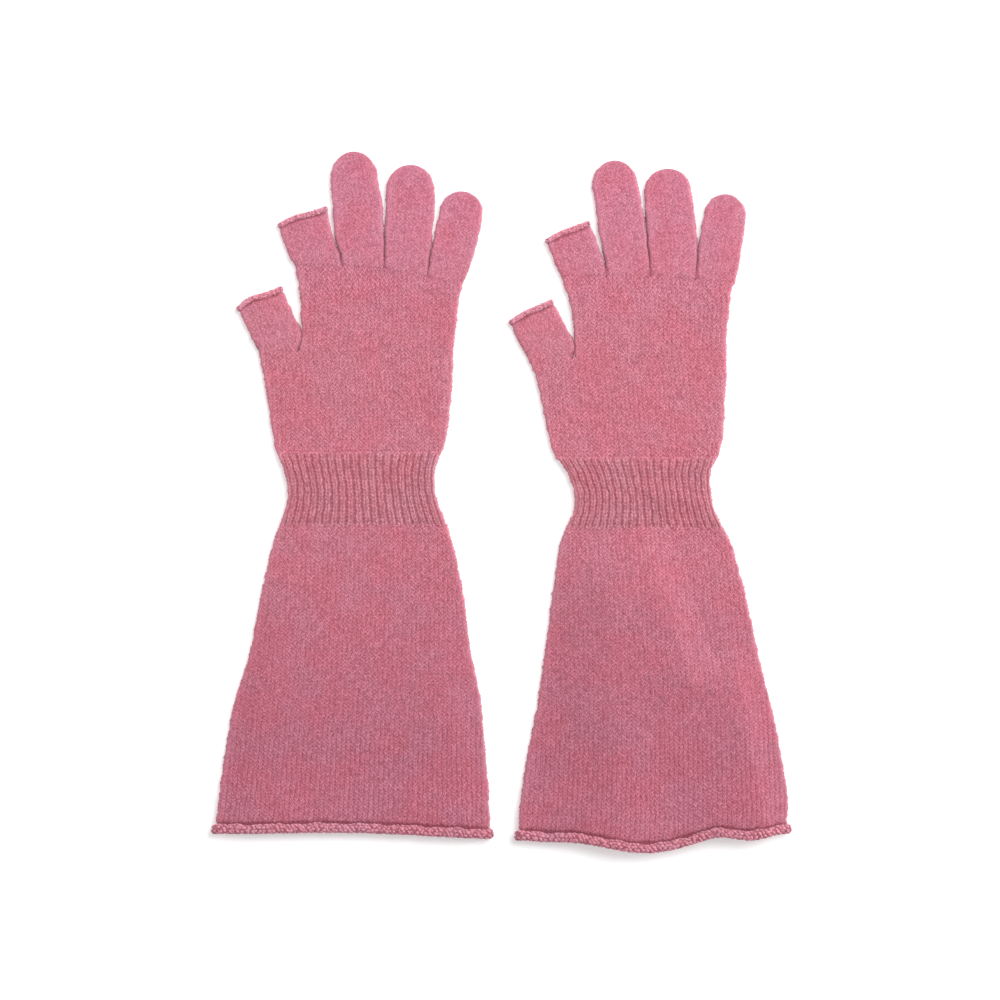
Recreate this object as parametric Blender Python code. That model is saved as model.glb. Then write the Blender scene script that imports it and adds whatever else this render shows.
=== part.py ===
"""A pair of long knitted gloves lying flat, side by side, on a surface.

Every tube of each glove is a closed wall round a thin slit, as two layers of
cloth lie on each other. The left glove lies palm up and the right glove back
up, so both thumbs point to -X. Fingertips point to +Y and +Z is up.
Sizes are in millimetres until the meshes are made.
"""

import math
from collections import namedtuple

import bmesh
import bpy
from mathutils import Matrix, Vector

MM = 0.001

# Walls, seams and folded edges of the cloth
KNIT_WALL = 1.7
RIB_WALL = 2.0
SLIT = 0.5
SEAM_GAP = 0.3
FOLD_STEPS = 4
SHARP_ANGLE = math.radians(50.0)

# Ribs of the wrist, raised on the upper layer
RIB_COUNT = 20
RIB_RISE = 0.9
RIB_POINTS = 3

# Rolled edges: half of a roll's height, half of its depth in plan,
# and how far back the cloth slopes down from it to the surface
Roll = namedtuple("Roll", "rise depth slope")
HEM_ROLL = Roll(rise=2.1, depth=2.9, slope=40.0)
FINGER_ROLL = Roll(rise=1.15, depth=1.5, slope=9.0)
ROLL_SIDES = 8

# A row gives one section of a tube: the middle of its width, the width,
# and how many degrees its right end is turned up
Row = namedtuple("Row", "x y width tilt")

# A fold lifts the upper layer along a line from x1, y1 to x2, y2, and reaches
# left and right of it. It dies out over a share of its length at each end.
Fold = namedtuple("Fold", "x1 y1 x2 y2 rise left right")
FOLD_FADE = 0.2

# A bend of an edge in plan: its depth in mm, where it is deepest as a share
# of the width, and its reach as shares of the width to the left and right
Bend = namedtuple("Bend", "depth middle left right")

# A finger stands on a share of the knuckles' top edge and has its own rows.
# tip is the length of its closed round end, or 0 where the end is open, and
# then mouth holds the bends of that end.
Finger = namedtuple("Finger", "name start end tip mouth rows")

Glove = namedtuple("Glove", "name fingers thumb seam_bends knuckles palm wrist cuff hem_bends folds")

LEFT = Glove(
    name="left",
    fingers=(
        Finger("finger_index", 0.0, 0.288, 0.0, (Bend(-1.3, 0.35, 0.5, 0.5),), (
            Row(-114.4, 153.6, 29.6, 13.0),
            Row(-118.6, 169.6, 30.7, 20.5),
        )),
        Finger("finger_middle", 0.288, 0.528, 17.0, (), (
            Row(-84.7, 158.7, 29.4, 0.0),
            Row(-85.8, 177.3, 30.2, 0.0),
            Row(-87.8, 192.3, 29.2, 2.0),
        )),
        Finger("finger_ring", 0.528, 0.781, 15.0, (), (
            Row(-55.2, 158.7, 28.6, 0.0),
            Row(-54.0, 177.3, 29.9, 0.0),
            Row(-54.0, 186.3, 29.4, 0.0),
        )),
        Finger("finger_little", 0.781, 1.0, 12.0, (), (
            Row(-26.7, 156.0, 26.6, -9.0),
            Row(-23.4, 173.4, 25.6, -8.0),
        )),
    ),
    thumb=Finger("thumb", 0.0, 0.215, 0.0, (Bend(-2.2, 0.3, 0.4, 0.6),), (
        Row(-134.8, 99.4, 29.6, 9.0),
        Row(-144.4, 120.6, 29.4, 26.0),
    )),
    seam_bends=(Bend(-4.0, 0.5, 0.6, 0.6),),
    knuckles=(
        Row(-72.8, 135.3, 102.3, -6.0),
        Row(-72.5, 127.5, 98.4, -3.0),
        Row(-72.5, 118.5, 95.1, 0.0),
        Row(-72.9, 105.3, 93.6, 0.0),
        Row(-73.9, 89.4, 92.0, 0.0),
    ),
    palm=(
        Row(-86.8, 89.4, 117.9, 0.0),
        Row(-85.2, 72.3, 113.4, 0.0),
        Row(-84.3, 45.3, 106.8, 0.0),
        Row(-84.6, 33.3, 102.6, 0.0),
        Row(-84.9, 27.3, 98.4, 0.0),
    ),
    wrist=(
        Row(-84.9, 27.3, 98.4, 0.0),
        Row(-84.6, 18.3, 91.8, 0.0),
        Row(-83.5, 8.1, 89.1, 0.0),
        Row(-82.8, -2.7, 91.8, 0.0),
        Row(-82.3, -14.1, 100.5, 0.0),
    ),
    cuff=(
        Row(-82.3, -14.1, 100.5, 0.0),
        Row(-82.5, -29.7, 110.4, 0.0),
        Row(-82.8, -53.7, 120.6, 0.0),
        Row(-84.0, -89.7, 132.6, 0.0),
        Row(-85.5, -119.7, 147.6, 0.0),
        Row(-87.0, -150.0, 156.4, 0.0),
        Row(-87.9, -180.0, 162.8, -0.5),
        Row(-88.7, -198.9, 164.8, -1.0),
    ),
    hem_bends=(Bend(-2.2, 0.5, 0.6, 0.6),),
    folds=(
        Fold(-137.0, -39.0, -157.0, -170.0, 1.2, 12.0, 22.0),
        Fold(-48.0, -100.0, -38.0, -180.0, 1.0, 24.0, 18.0),
    ),
)

RIGHT = Glove(
    name="right",
    fingers=(
        Finger("finger_index", 0.0, 0.27, 0.0, (Bend(-0.8, 0.4, 0.5, 0.6),), (
            Row(45.8, 147.3, 28.8, 12.0),
            Row(40.5, 160.7, 28.0, 23.5),
        )),
        Finger("finger_middle", 0.27, 0.514, 15.2, (), (
            Row(73.9, 156.3, 28.2, 0.0),
            Row(70.8, 177.9, 28.4, 0.0),
            Row(68.8, 188.7, 27.9, 0.0),
        )),
        Finger("finger_ring", 0.514, 0.769, 13.0, (), (
            Row(103.4, 156.3, 30.0, 0.0),
            Row(101.6, 174.3, 30.0, 0.0),
            Row(100.6, 186.0, 28.0, 0.0),
        )),
        Finger("finger_little", 0.769, 1.0, 13.0, (), (
            Row(132.7, 155.4, 26.2, -4.0),
            Row(134.9, 170.7, 25.4, -7.0),
        )),
    ),
    thumb=Finger("thumb", 0.0, 0.231, 0.0, (Bend(-0.9, 0.4, 0.5, 0.6),), (
        Row(27.2, 95.0, 31.0, 7.0),
        Row(18.5, 112.7, 28.4, 27.0),
    )),
    seam_bends=(Bend(-3.0, 0.5, 0.6, 0.6),),
    knuckles=(
        Row(88.7, 132.0, 105.4, -2.0),
        Row(88.6, 126.6, 100.6, -1.0),
        Row(90.0, 117.9, 96.6, 0.0),
        Row(90.2, 103.5, 92.6, 0.0),
        Row(90.3, 85.8, 91.6, 0.0),
    ),
    palm=(
        Row(76.0, 85.8, 119.7, 0.0),
        Row(78.6, 72.3, 114.6, 0.0),
        Row(81.0, 42.3, 106.2, 0.0),
        Row(81.6, 30.3, 101.4, 0.0),
        Row(81.9, 24.3, 96.0, 0.0),
    ),
    wrist=(
        Row(81.9, 24.3, 96.0, 0.0),
        Row(83.4, 15.3, 85.8, 0.0),
        Row(85.6, 3.3, 82.5, 0.0),
        Row(86.4, -6.9, 85.8, 0.0),
        Row(86.8, -15.9, 94.5, 0.0),
    ),
    cuff=(
        Row(86.8, -15.9, 94.5, 0.0),
        Row(87.6, -29.7, 105.0, 0.0),
        Row(89.1, -53.7, 115.2, 0.0),
        Row(90.6, -89.7, 127.8, 0.0),
        Row(92.1, -119.7, 139.2, 0.0),
        Row(92.5, -150.0, 151.6, 0.0),
        Row(92.2, -180.0, 161.0, 0.5),
        Row(91.5, -199.2, 161.6, 1.5),
    ),
    hem_bends=(
        Bend(9.0, 0.49, 0.37, 0.31),
        Bend(3.0, 0.86, 0.14, 0.13),
        Bend(1.4, 0.12, 0.12, 0.2),
    ),
    folds=(
        Fold(66.0, -28.0, 84.0, -215.0, 3.0, 12.0, 30.0),
        Fold(88.0, -22.0, 128.0, -104.0, 2.4, 10.0, 16.0),
        Fold(146.0, -50.0, 160.0, -180.0, 1.8, 24.0, 12.0),
    ),
)

# Steps along a tube between two rows, the steps over which the finger seam's bends
# die out, and the steps round a tube along its underside and upper side
TUBE_SPANS = 2
SEAM_BEND_STEPS = 4
FINGER_POINTS = (4, 4)
MOUTH_POINTS = (6, 6)
KNUCKLE_POINTS = (8, 8)
PALM_POINTS = (9, 9)
CUFF_POINTS = (12, 18)
WRIST_POINTS = (8, RIB_COUNT * RIB_POINTS)
TIP_ANGLES = (24.0, 46.0, 65.0, 80.0)

# Colours of the yarn as it shows, in sRGB, and its dull finish
FINGER_PINK = (212, 142, 157)
HAND_PINK = (203, 126, 142)
RIB_PINK = (188, 112, 128)
CUFF_PINK = (193, 115, 132)
EDGE_PINK = (186, 110, 126)
WOOL_ROUGHNESS = 0.92


def clear_scene():
    for obj in list(bpy.data.objects):
        bpy.data.objects.remove(obj, do_unlink=True)


def smooth_step(value):
    value = min(max(value, 0.0), 1.0)
    return value * value * (3.0 - 2.0 * value)


def hump(distance, reach):
    """A rounded hump: 1 in the middle and 0 from reach on."""
    if abs(distance) >= reach:
        return 0.0
    return math.cos(0.5 * math.pi * distance / reach) ** 2


def bend_at(bends, share):
    """How far an edge is bent towards the hem at a share of its width."""
    depth = 0.0
    for bend in bends:
        offset = share - bend.middle
        reach = bend.left if offset < 0.0 else bend.right
        depth += bend.depth * hump(offset, reach)
    return depth


def weaker(bends, part):
    return tuple(bend._replace(depth=bend.depth * part) for bend in bends)


def fold_rise(folds, x, y):
    """How far the folds lift the upper layer at a point in plan."""
    rise = 0.0
    for fold in folds:
        line = Vector((fold.x2 - fold.x1, fold.y2 - fold.y1))
        here = Vector((x - fold.x1, y - fold.y1))
        along = here.dot(line) / line.length_squared
        aside = (here.x * line.y - here.y * line.x) / line.length
        # The line runs towards the hem, so a positive aside is on its -X side
        reach = fold.right if aside < 0.0 else fold.left
        ends = smooth_step(along / FOLD_FADE) * smooth_step((1.0 - along) / FOLD_FADE)
        rise += fold.rise * ends * hump(aside, reach)
    return rise


def spline(before, start, end, after, t):
    """A Catmull-Rom value between start and end."""
    square = t * t
    cube = square * t
    return 0.5 * (
        2.0 * start
        + (end - before) * t
        + (2.0 * before - 5.0 * start + 4.0 * end - after) * square
        + (3.0 * start - before - 3.0 * end + after) * cube
    )


def smooth_rows(rows, spans):
    """Rows on a smooth curve through the given ones, with spans between each two."""
    padded = [extend(rows[1], rows[0])] + list(rows) + [extend(rows[-2], rows[-1])]
    result = []
    for i in range(1, len(padded) - 2):
        near = padded[i - 1 : i + 3]
        for step in range(spans):
            t = step / spans
            result.append(Row(*(spline(*(row[k] for row in near), t) for k in range(4))))
    result.append(rows[-1])
    return result


def extend(inner, last):
    """The row as far beyond the last one as the inner one is before it."""
    return Row(*(2.0 * b - a for a, b in zip(inner, last)))


class Section:
    """The plane of one ring of a tube: its centre, its line across and the way ahead."""

    def __init__(self, row):
        angle = math.radians(row.tilt)
        self.centre = Vector((row.x, row.y))
        self.across = Vector((math.cos(angle), math.sin(angle)))
        self.ahead = Vector((-math.sin(angle), math.cos(angle)))
        self.half = row.width / 2.0

    def plan(self, offset, bends=(), forward=0.0):
        """The point at an offset across; bends move it back, against the way ahead."""
        back = bend_at(bends, 0.5 + offset / (2.0 * self.half))
        return self.centre + self.across * offset + self.ahead * (forward - back)


def stadium(flat, low, high, points, rib_rise=0.0):
    """A flattened tube's outline as (offset, z, share of a fold's rise), anticlockwise.

    It starts at the left end of the underside. flat is half of the straight length.
    """
    under, over = points
    middle = (low + high) / 2.0
    radius = (high - low) / 2.0
    outline = [(-flat + 2.0 * flat * i / under, low, 0.0) for i in range(under + 1)]
    outline += fold_arc(flat, middle, radius, -90.0)
    for i in range(over + 1):
        offset = flat - 2.0 * flat * i / over
        raised = rib_rise if i % RIB_POINTS else 0.0
        outline.append((offset, high + raised, 1.0 - (offset / flat) ** 4))
    outline += fold_arc(-flat, middle, radius, 90.0)
    return outline


def fold_arc(centre, middle, radius, start):
    """The inner points of the half circle at a folded edge."""
    arc = []
    for i in range(1, FOLD_STEPS):
        angle = math.radians(start + 180.0 * i / FOLD_STEPS)
        arc.append((centre + radius * math.cos(angle), middle + radius * math.sin(angle), 0.0))
    return arc


def place(section, outline, bends=(), folds=()):
    """An outline's points in space."""
    ring = []
    for offset, z, share in outline:
        spot = section.plan(offset, bends)
        lifted = z + share * fold_rise(folds, spot.x, spot.y) if share else z
        ring.append(Vector((spot.x, spot.y, lifted)))
    return ring


def tube_rings(sections, wall, points, lifts=(), bends=(), folds=(), rib_rise=0.0):
    """Outer and inner rings of a flattened tube, with a lift and bends for each section."""
    outer_rings = []
    inner_rings = []
    for i, section in enumerate(sections):
        lift = lifts[i] if lifts else 0.0
        bend = bends[i] if bends else ()
        height = 2.0 * wall + SLIT
        flat = section.half - height / 2.0
        outer = stadium(flat, lift, lift + height, points, rib_rise)
        inner = stadium(flat, lift + wall, lift + wall + SLIT, points)
        outer_rings.append(place(section, outer, bend, folds))
        inner_rings.append(place(section, inner, bend, folds))
    return outer_rings, inner_rings


def round_tip(section, wall, length, points):
    """Rings and end points of a finger's closed round end, beyond its last section."""
    height = 2.0 * wall + SLIT
    middle = height / 2.0
    outer_rings = []
    inner_rings = []
    for degrees in TIP_ANGLES:
        angle = math.radians(degrees)
        thin = math.sqrt(math.cos(angle))
        for rings, inset, thick in ((outer_rings, 0.0, height), (inner_rings, wall, SLIT)):
            half = (section.half - inset) * math.cos(angle)
            radius = thick * thin / 2.0
            outline = stadium(half - radius, middle - radius, middle + radius, points)
            forward = section.ahead * (length - inset) * math.sin(angle)
            rings.append([p + forward.to_3d() for p in place(section, outline)])
    outer_end = section.plan(0.0, forward=length).to_3d() + Vector((0.0, 0.0, middle))
    inner_end = section.plan(0.0, forward=length - wall).to_3d() + Vector((0.0, 0.0, middle))
    return outer_rings, inner_rings, outer_end, inner_end


def join_rings(mesh, first, second):
    count = len(first)
    for i in range(count):
        j = (i + 1) % count
        mesh.faces.new((first[i], first[j], second[j], second[i]))


def close_fan(mesh, ring, end):
    for i, vert in enumerate(ring):
        mesh.faces.new((vert, ring[(i + 1) % len(ring)], end))


def wall_body(name, outer, inner, ends=None):
    """One closed wall from its outer and inner rings, with a closed tip or two mouths."""
    mesh = bmesh.new()
    outer = [[mesh.verts.new(p) for p in ring] for ring in outer]
    inner = [[mesh.verts.new(p) for p in ring] for ring in inner]
    for rings in (outer, inner):
        for first, second in zip(rings, rings[1:]):
            join_rings(mesh, first, second)
    join_rings(mesh, outer[0], inner[0])
    if ends:
        close_fan(mesh, outer[-1], mesh.verts.new(ends[0]))
        close_fan(mesh, inner[-1], mesh.verts.new(ends[1]))
    else:
        join_rings(mesh, outer[-1], inner[-1])
    return finish_body(name, mesh)


def roll_body(name, section, roll, points, bends=(), folds=()):
    """A rolled edge: a ring of cloth that follows the tube's mouth on both layers."""
    tube_flat = section.half - (2.0 * KNIT_WALL + SLIT) / 2.0
    path = stadium(tube_flat, roll.rise, 3.0 * roll.rise + SLIT, points)
    middle = 2.0 * roll.rise + SLIT / 2.0
    spread = 1.0 / math.cos(math.pi / ROLL_SIDES)
    mesh = bmesh.new()
    loops = []
    for offset, z, share in path:
        overhang = min(max(offset, -tube_flat), tube_flat)
        outward = Vector((offset - overhang, z - middle)).normalized()
        loop = []
        for k in range(ROLL_SIDES):
            angle = (k + 0.5) * 2.0 * math.pi / ROLL_SIDES
            out = roll.rise * spread * math.cos(angle)
            forward = roll.depth * spread * math.sin(angle)
            spot = section.plan(offset + outward.x * out, bends, forward)
            lifted = share * fold_rise(folds, spot.x, spot.y) if share else 0.0
            loop.append(mesh.verts.new((spot.x, spot.y, z + outward.y * out + lifted)))
        loops.append(loop)
    for i, loop in enumerate(loops):
        join_rings(mesh, loop, loops[(i + 1) % len(loops)])
    return finish_body(name, mesh)


def finish_body(name, mesh):
    """A mesh object in metres, facing outwards and shaded smooth but for its sharp edges."""
    bmesh.ops.recalc_face_normals(mesh, faces=mesh.faces)
    bmesh.ops.scale(mesh, vec=(MM, MM, MM), verts=mesh.verts)
    data = bpy.data.meshes.new(name)
    mesh.to_mesh(data)
    mesh.free()
    data.shade_smooth()
    data.set_sharp_from_angle(angle=SHARP_ANGLE)
    obj = bpy.data.objects.new(name, data)
    bpy.context.scene.collection.objects.link(obj)
    return obj


def linear(channel):
    """An 8-bit sRGB channel as a linear value."""
    value = channel / 255.0
    return value / 12.92 if value <= 0.04045 else ((value + 0.055) / 1.055) ** 2.4


def dye(obj, colour):
    """Give a piece its own woollen material."""
    material = bpy.data.materials.new(obj.name + "_wool")
    material.use_nodes = True
    shader = material.node_tree.nodes["Principled BSDF"]
    shader.inputs["Base Color"].default_value = (*(linear(c) for c in colour), 1.0)
    shader.inputs["Roughness"].default_value = WOOL_ROUGHNESS
    shader.inputs["Metallic"].default_value = 0.0
    obj.data.materials.append(material)


def moved_back(row, distance):
    """A row moved towards the hem, along its own way ahead."""
    spot = Section(row).plan(0.0, forward=-distance)
    return row._replace(x=spot.x, y=spot.y)


def rolled_tube(name, rows, roll, points, bends=(), folds=(), outward=1.0):
    """A tube whose last row is the middle of its rolled edge, and the roll itself.

    outward is 1 where the mouth lies ahead of the tube and -1 where it lies behind.
    """
    cut = moved_back(rows[-1], outward * (roll.depth + SEAM_GAP))
    sections = [Section(row) for row in smooth_rows(list(rows[:-1]) + [cut], TUBE_SPANS)]
    lifts = []
    section_bends = []
    for section in sections:
        away = (section.centre - sections[-1].centre).length
        lifts.append((2.0 * roll.rise - KNIT_WALL) * smooth_step(1.0 - away / roll.slope))
        section_bends.append(weaker(bends, smooth_step(1.0 - away / (2.0 * roll.slope))))
    outer, inner = tube_rings(sections, KNIT_WALL, points, lifts, section_bends, folds)
    tube = wall_body(name, outer, inner)
    return tube, roll_body(name + "_roll", Section(rows[-1]), roll, points, bends, folds)


def share_of_edge(row, bends, start, end):
    """The first row of a tube that stands on a share of another tube's top edge."""
    section = Section(row)
    ends = []
    for share, inset in ((start, SEAM_GAP / 2.0), (end, -SEAM_GAP / 2.0)):
        inset = 0.0 if share in (0.0, 1.0) else inset
        offset = (2.0 * share - 1.0) * section.half + inset
        ends.append(section.plan(offset, bends, forward=SEAM_GAP))
    left, right = ends
    chord = right - left
    # The edge bulges beyond the chord, so the tube starts clear of the bulge
    middle = section.plan((start + end - 1.0) * section.half, bends, forward=SEAM_GAP)
    bulge = max(0.0, (middle - (left + right) / 2.0).dot(section.ahead))
    base = (left + right) / 2.0 + section.ahead * bulge
    return Row(base.x, base.y, chord.length, math.degrees(math.atan2(chord.y, chord.x)))


def make_finger(glove, finger, edge, edge_bends):
    """A finger or thumb tube on a share of an edge, closed or with a rolled mouth."""
    name = glove.name + "_" + finger.name
    base = share_of_edge(edge, edge_bends, finger.start, finger.end)
    rows = (base,) + finger.rows
    if finger.tip:
        sections = [Section(row) for row in smooth_rows(rows, TUBE_SPANS)]
        outer, inner = tube_rings(sections, KNIT_WALL, FINGER_POINTS)
        tip = round_tip(sections[-1], KNIT_WALL, finger.tip, FINGER_POINTS)
        body = wall_body(name, outer + tip[0], inner + tip[1], tip[2:])
        dye(body, FINGER_PINK)
        return [body]
    body, roll = rolled_tube(name, rows, FINGER_ROLL, MOUTH_POINTS, finger.mouth)
    dye(body, FINGER_PINK)
    dye(roll, EDGE_PINK)
    return [body, roll]


def make_hand(glove):
    """The knuckles, with four fingers on them, and the palm that also carries the thumb."""
    bodies = []
    knuckles = list(glove.knuckles)
    knuckles[-1] = moved_back(knuckles[-1], -SEAM_GAP)
    sections = [Section(row) for row in smooth_rows(knuckles, TUBE_SPANS)]
    parts = [smooth_step(1.0 - i / SEAM_BEND_STEPS) for i in range(len(sections))]
    bends = [weaker(glove.seam_bends, part) for part in parts]
    outer, inner = tube_rings(sections, KNIT_WALL, KNUCKLE_POINTS, bends=bends)
    bodies.append(wall_body(glove.name + "_knuckles", outer, inner))

    palm = list(glove.palm)
    palm[-1] = moved_back(palm[-1], -SEAM_GAP)
    sections = [Section(row) for row in smooth_rows(palm, TUBE_SPANS)]
    outer, inner = tube_rings(sections, KNIT_WALL, PALM_POINTS)
    bodies.append(wall_body(glove.name + "_palm", outer, inner))
    for body in bodies:
        dye(body, HAND_PINK)

    for finger in glove.fingers:
        bodies += make_finger(glove, finger, glove.knuckles[0], glove.seam_bends)
    bodies += make_finger(glove, glove.thumb, glove.palm[0], ())
    return bodies


def make_wrist(glove):
    """The ribbed wrist: its ribs stand on the upper layer over a plain inside."""
    sections = [Section(row) for row in smooth_rows(glove.wrist, 1)]
    outer, inner = tube_rings(sections, RIB_WALL, WRIST_POINTS, rib_rise=RIB_RISE)
    body = wall_body(glove.name + "_wrist_rib", outer, inner)
    dye(body, RIB_PINK)
    return [body]


def make_cuff(glove):
    """The flared gauntlet cuff and its rolled hem."""
    rows = list(glove.cuff)
    rows[0] = moved_back(rows[0], SEAM_GAP)
    name = glove.name + "_cuff"
    cuff, hem = rolled_tube(name, rows, HEM_ROLL, CUFF_POINTS, glove.hem_bends, glove.folds, -1.0)
    dye(cuff, CUFF_PINK)
    dye(hem, EDGE_PINK)
    return [cuff, hem]


def centre_pair(bodies):
    """Move the pair so that the middle of its outline is over the origin."""
    corners = [vertex.co for body in bodies for vertex in body.data.vertices]
    middle = [(min(c[k] for c in corners) + max(c[k] for c in corners)) / 2.0 for k in range(2)]
    for body in bodies:
        body.data.transform(Matrix.Translation((-middle[0], -middle[1], 0.0)))


def main():
    clear_scene()
    bodies = []
    for glove in (LEFT, RIGHT):
        bodies += make_hand(glove)
        bodies += make_wrist(glove)
        bodies += make_cuff(glove)
    centre_pair(bodies)


main()
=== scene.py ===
"""Dresses the pair of long knitted gloves in their yarn, stitch by stitch.

Both gloves lie flat with their thumbs to the left. Every tube of cloth is laid
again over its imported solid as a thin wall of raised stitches: wales run along the
tube and courses run round it. The tables and the functions that lay the cloth are
in millimetres. The trees, the materials and the stage are in metres.
"""

import math
from collections import namedtuple

import bmesh
import bpy
import numpy as np
from bpy.props import FloatProperty, FloatVectorProperty, IntProperty, PointerProperty
from mathutils import Matrix, Vector


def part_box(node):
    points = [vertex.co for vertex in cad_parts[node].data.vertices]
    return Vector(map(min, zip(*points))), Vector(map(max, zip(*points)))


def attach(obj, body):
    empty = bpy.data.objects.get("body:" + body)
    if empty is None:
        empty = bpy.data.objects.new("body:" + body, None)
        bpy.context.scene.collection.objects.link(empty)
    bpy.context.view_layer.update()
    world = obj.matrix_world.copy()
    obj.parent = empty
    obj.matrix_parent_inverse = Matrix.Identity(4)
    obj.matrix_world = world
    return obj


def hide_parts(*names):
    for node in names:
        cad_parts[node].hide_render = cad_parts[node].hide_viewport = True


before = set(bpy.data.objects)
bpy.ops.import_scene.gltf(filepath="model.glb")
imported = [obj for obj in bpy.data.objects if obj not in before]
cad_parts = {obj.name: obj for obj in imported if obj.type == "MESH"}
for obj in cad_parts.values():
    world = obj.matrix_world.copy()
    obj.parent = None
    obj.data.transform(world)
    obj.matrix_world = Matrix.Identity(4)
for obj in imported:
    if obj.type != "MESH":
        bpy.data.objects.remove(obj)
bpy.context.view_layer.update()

bl_info = {
    "name": "Knitted Gauntlet Gloves",
    "version": (1, 0, 0),
    "blender": (4, 5, 0),
    "location": "View3D > Sidebar > Gloves",
    "description": "Knits a pair of long gloves over their packed solids",
    "category": "Object",
}

MM = 0.001

# Stands in for a width that has shrunk to nothing
TINY = 1e-6

# The cloth's walls and the slit between its two layers, as in the solids
KNIT_WALL = 1.7
RIB_WALL = 2.0
SLIT = 0.5
EDGE_RADIUS = KNIT_WALL + SLIT / 2.0

# A rolled edge: half the height and half the depth of its curl, how far the cloth
# slopes up to it, and which way along the tube its outer side faces
Roll = namedtuple("Roll", "rise depth slope outward")
HEM_ROLL = Roll(rise=2.1, depth=2.9, slope=40.0, outward=-1.0)
FINGER_ROLL = Roll(rise=1.15, depth=1.5, slope=9.0, outward=1.0)

# How far under its roll a tube ends, as a share of the roll's depth
ROLL_BACK = 0.55

# How unevenly a roll is curled: each wave's share of the depth, and the arc over
# which it turns by one radian
CURL_WAVES = ((0.085, 4.3), (0.06, 1.9))

# A row gives one section of a tube: the middle of its width, the width,
# and how many degrees its right end is turned up
Row = namedtuple("Row", "x y width tilt")

# A fold lifts the upper layer along a line, and reaches left and right of it
Fold = namedtuple("Fold", "x1 y1 x2 y2 rise left right")

# The share of its length over which each end of a fold fades, how blunt its crest
# is and how fast it falls away, and how closely the lift reaches to a folded edge
FOLD_FADE = 0.2
CREST = 0.12
CREST_FALL = 1.3
EDGE_HOLD = 8

# A bend of an edge in plan: its depth, where it is deepest as a share of the
# width, and its reach as shares of the width
Bend = namedtuple("Bend", "depth middle left right")

# Where a finger lies against its neighbour: to its left (-1) or right (1), from
# which y down, how far its side bulges over there and how soon
Touch = namedtuple("Touch", "way y bulge fade", defaults=(5.0,))

# A finger stands on the share from start to end of another tube's edge. Its tip is
# the length of its closed end, or 0 where it has an open mouth with these bends
Finger = namedtuple("Finger", "name start end tip mouth touches rows")

# The thumb takes the palm's first thumb_wales wales, and the crotch beside it lies
# at thumb_edge, counted in wales
Glove = namedtuple(
    "Glove",
    "name fingers thumb seam_bends seam_fade thumb_wales thumb_edge knuckles palm wrist"
    " wrist_folds cuff hem_bends folds",
)

LEFT = Glove(
    name="left",
    fingers=(
        Finger("finger_index", 0.0, 0.288, 0.0, (Bend(-1.3, 0.35, 0.5, 0.5),), (Touch(1, 159.4, 0.4),), (
            Row(-114.4, 153.6, 29.6, 13.0),
            Row(-118.6, 169.6, 30.7, 20.5),
        )),
        Finger("finger_middle", 0.288, 0.528, 17.0, (), (Touch(-1, 159.4, 0.4), Touch(1, 166.6, 0.42)), (
            Row(-84.7, 158.7, 29.4, 0.0),
            Row(-85.8, 177.3, 30.2, 0.0),
            Row(-87.8, 192.3, 29.2, 2.0),
        )),
        Finger("finger_ring", 0.528, 0.781, 15.0, (), (Touch(-1, 166.6, 0.42), Touch(1, 157.7, 0.5)), (
            Row(-55.2, 158.7, 28.6, 0.0),
            Row(-54.0, 177.3, 29.9, 0.0),
            Row(-54.0, 186.3, 29.4, 0.0),
        )),
        Finger("finger_little", 0.781, 1.0, 12.0, (), (Touch(-1, 157.7, 0.5),), (
            Row(-26.7, 156.0, 26.6, -9.0),
            Row(-23.4, 173.4, 25.6, -8.0),
        )),
    ),
    thumb=Finger("thumb", 0.0, 0.215, 0.0, (Bend(-2.2, 0.3, 0.4, 0.6),), (Touch(1, 106.5, 1.0, 16.0),), (
        Row(-134.8, 99.4, 29.6, 9.0),
        Row(-144.4, 120.6, 29.4, 26.0),
    )),
    seam_bends=(Bend(-4.0, 0.5, 0.6, 0.6),),
    seam_fade=16.8,
    thumb_wales=10,
    thumb_edge=9.9,
    knuckles=(
        Row(-72.8, 135.3, 102.3, -6.0),
        Row(-72.5, 127.5, 98.4, -3.0),
        Row(-72.5, 118.5, 95.1, 0.0),
        Row(-72.9, 105.3, 93.6, 0.0),
        Row(-73.9, 89.4, 92.0, 0.0),
    ),
    palm=(
        Row(-86.8, 89.4, 117.9, 0.0),
        Row(-85.2, 72.3, 113.4, 0.0),
        Row(-84.3, 45.3, 106.8, 0.0),
        Row(-84.6, 33.3, 102.6, 0.0),
        Row(-84.9, 27.3, 98.4, 0.0),
    ),
    wrist=(
        Row(-84.9, 27.3, 98.4, 0.0),
        Row(-84.6, 18.3, 91.8, 0.0),
        Row(-83.5, 8.1, 89.1, 0.0),
        Row(-82.8, -2.7, 91.8, 0.0),
        Row(-82.3, -14.1, 100.5, 0.0),
    ),
    cuff=(
        Row(-82.3, -14.1, 100.5, 0.0),
        Row(-82.5, -29.7, 110.4, 0.0),
        Row(-82.8, -53.7, 120.6, 0.0),
        Row(-84.0, -89.7, 132.6, 0.0),
        Row(-85.5, -119.7, 147.6, 0.0),
        Row(-87.0, -150.0, 156.4, 0.0),
        Row(-87.9, -180.0, 162.8, -0.5),
        Row(-88.7, -198.9, 164.8, -1.0),
    ),
    hem_bends=(Bend(-2.2, 0.5, 0.6, 0.6),),
    folds=(
        Fold(-134.0, -26.0, -160.0, -250.0, 1.8, 20.0, 90.0),
        Fold(-34.0, -60.0, -14.0, -250.0, 2.0, 80.0, 14.0),
    ),
    wrist_folds=(),
)

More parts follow.
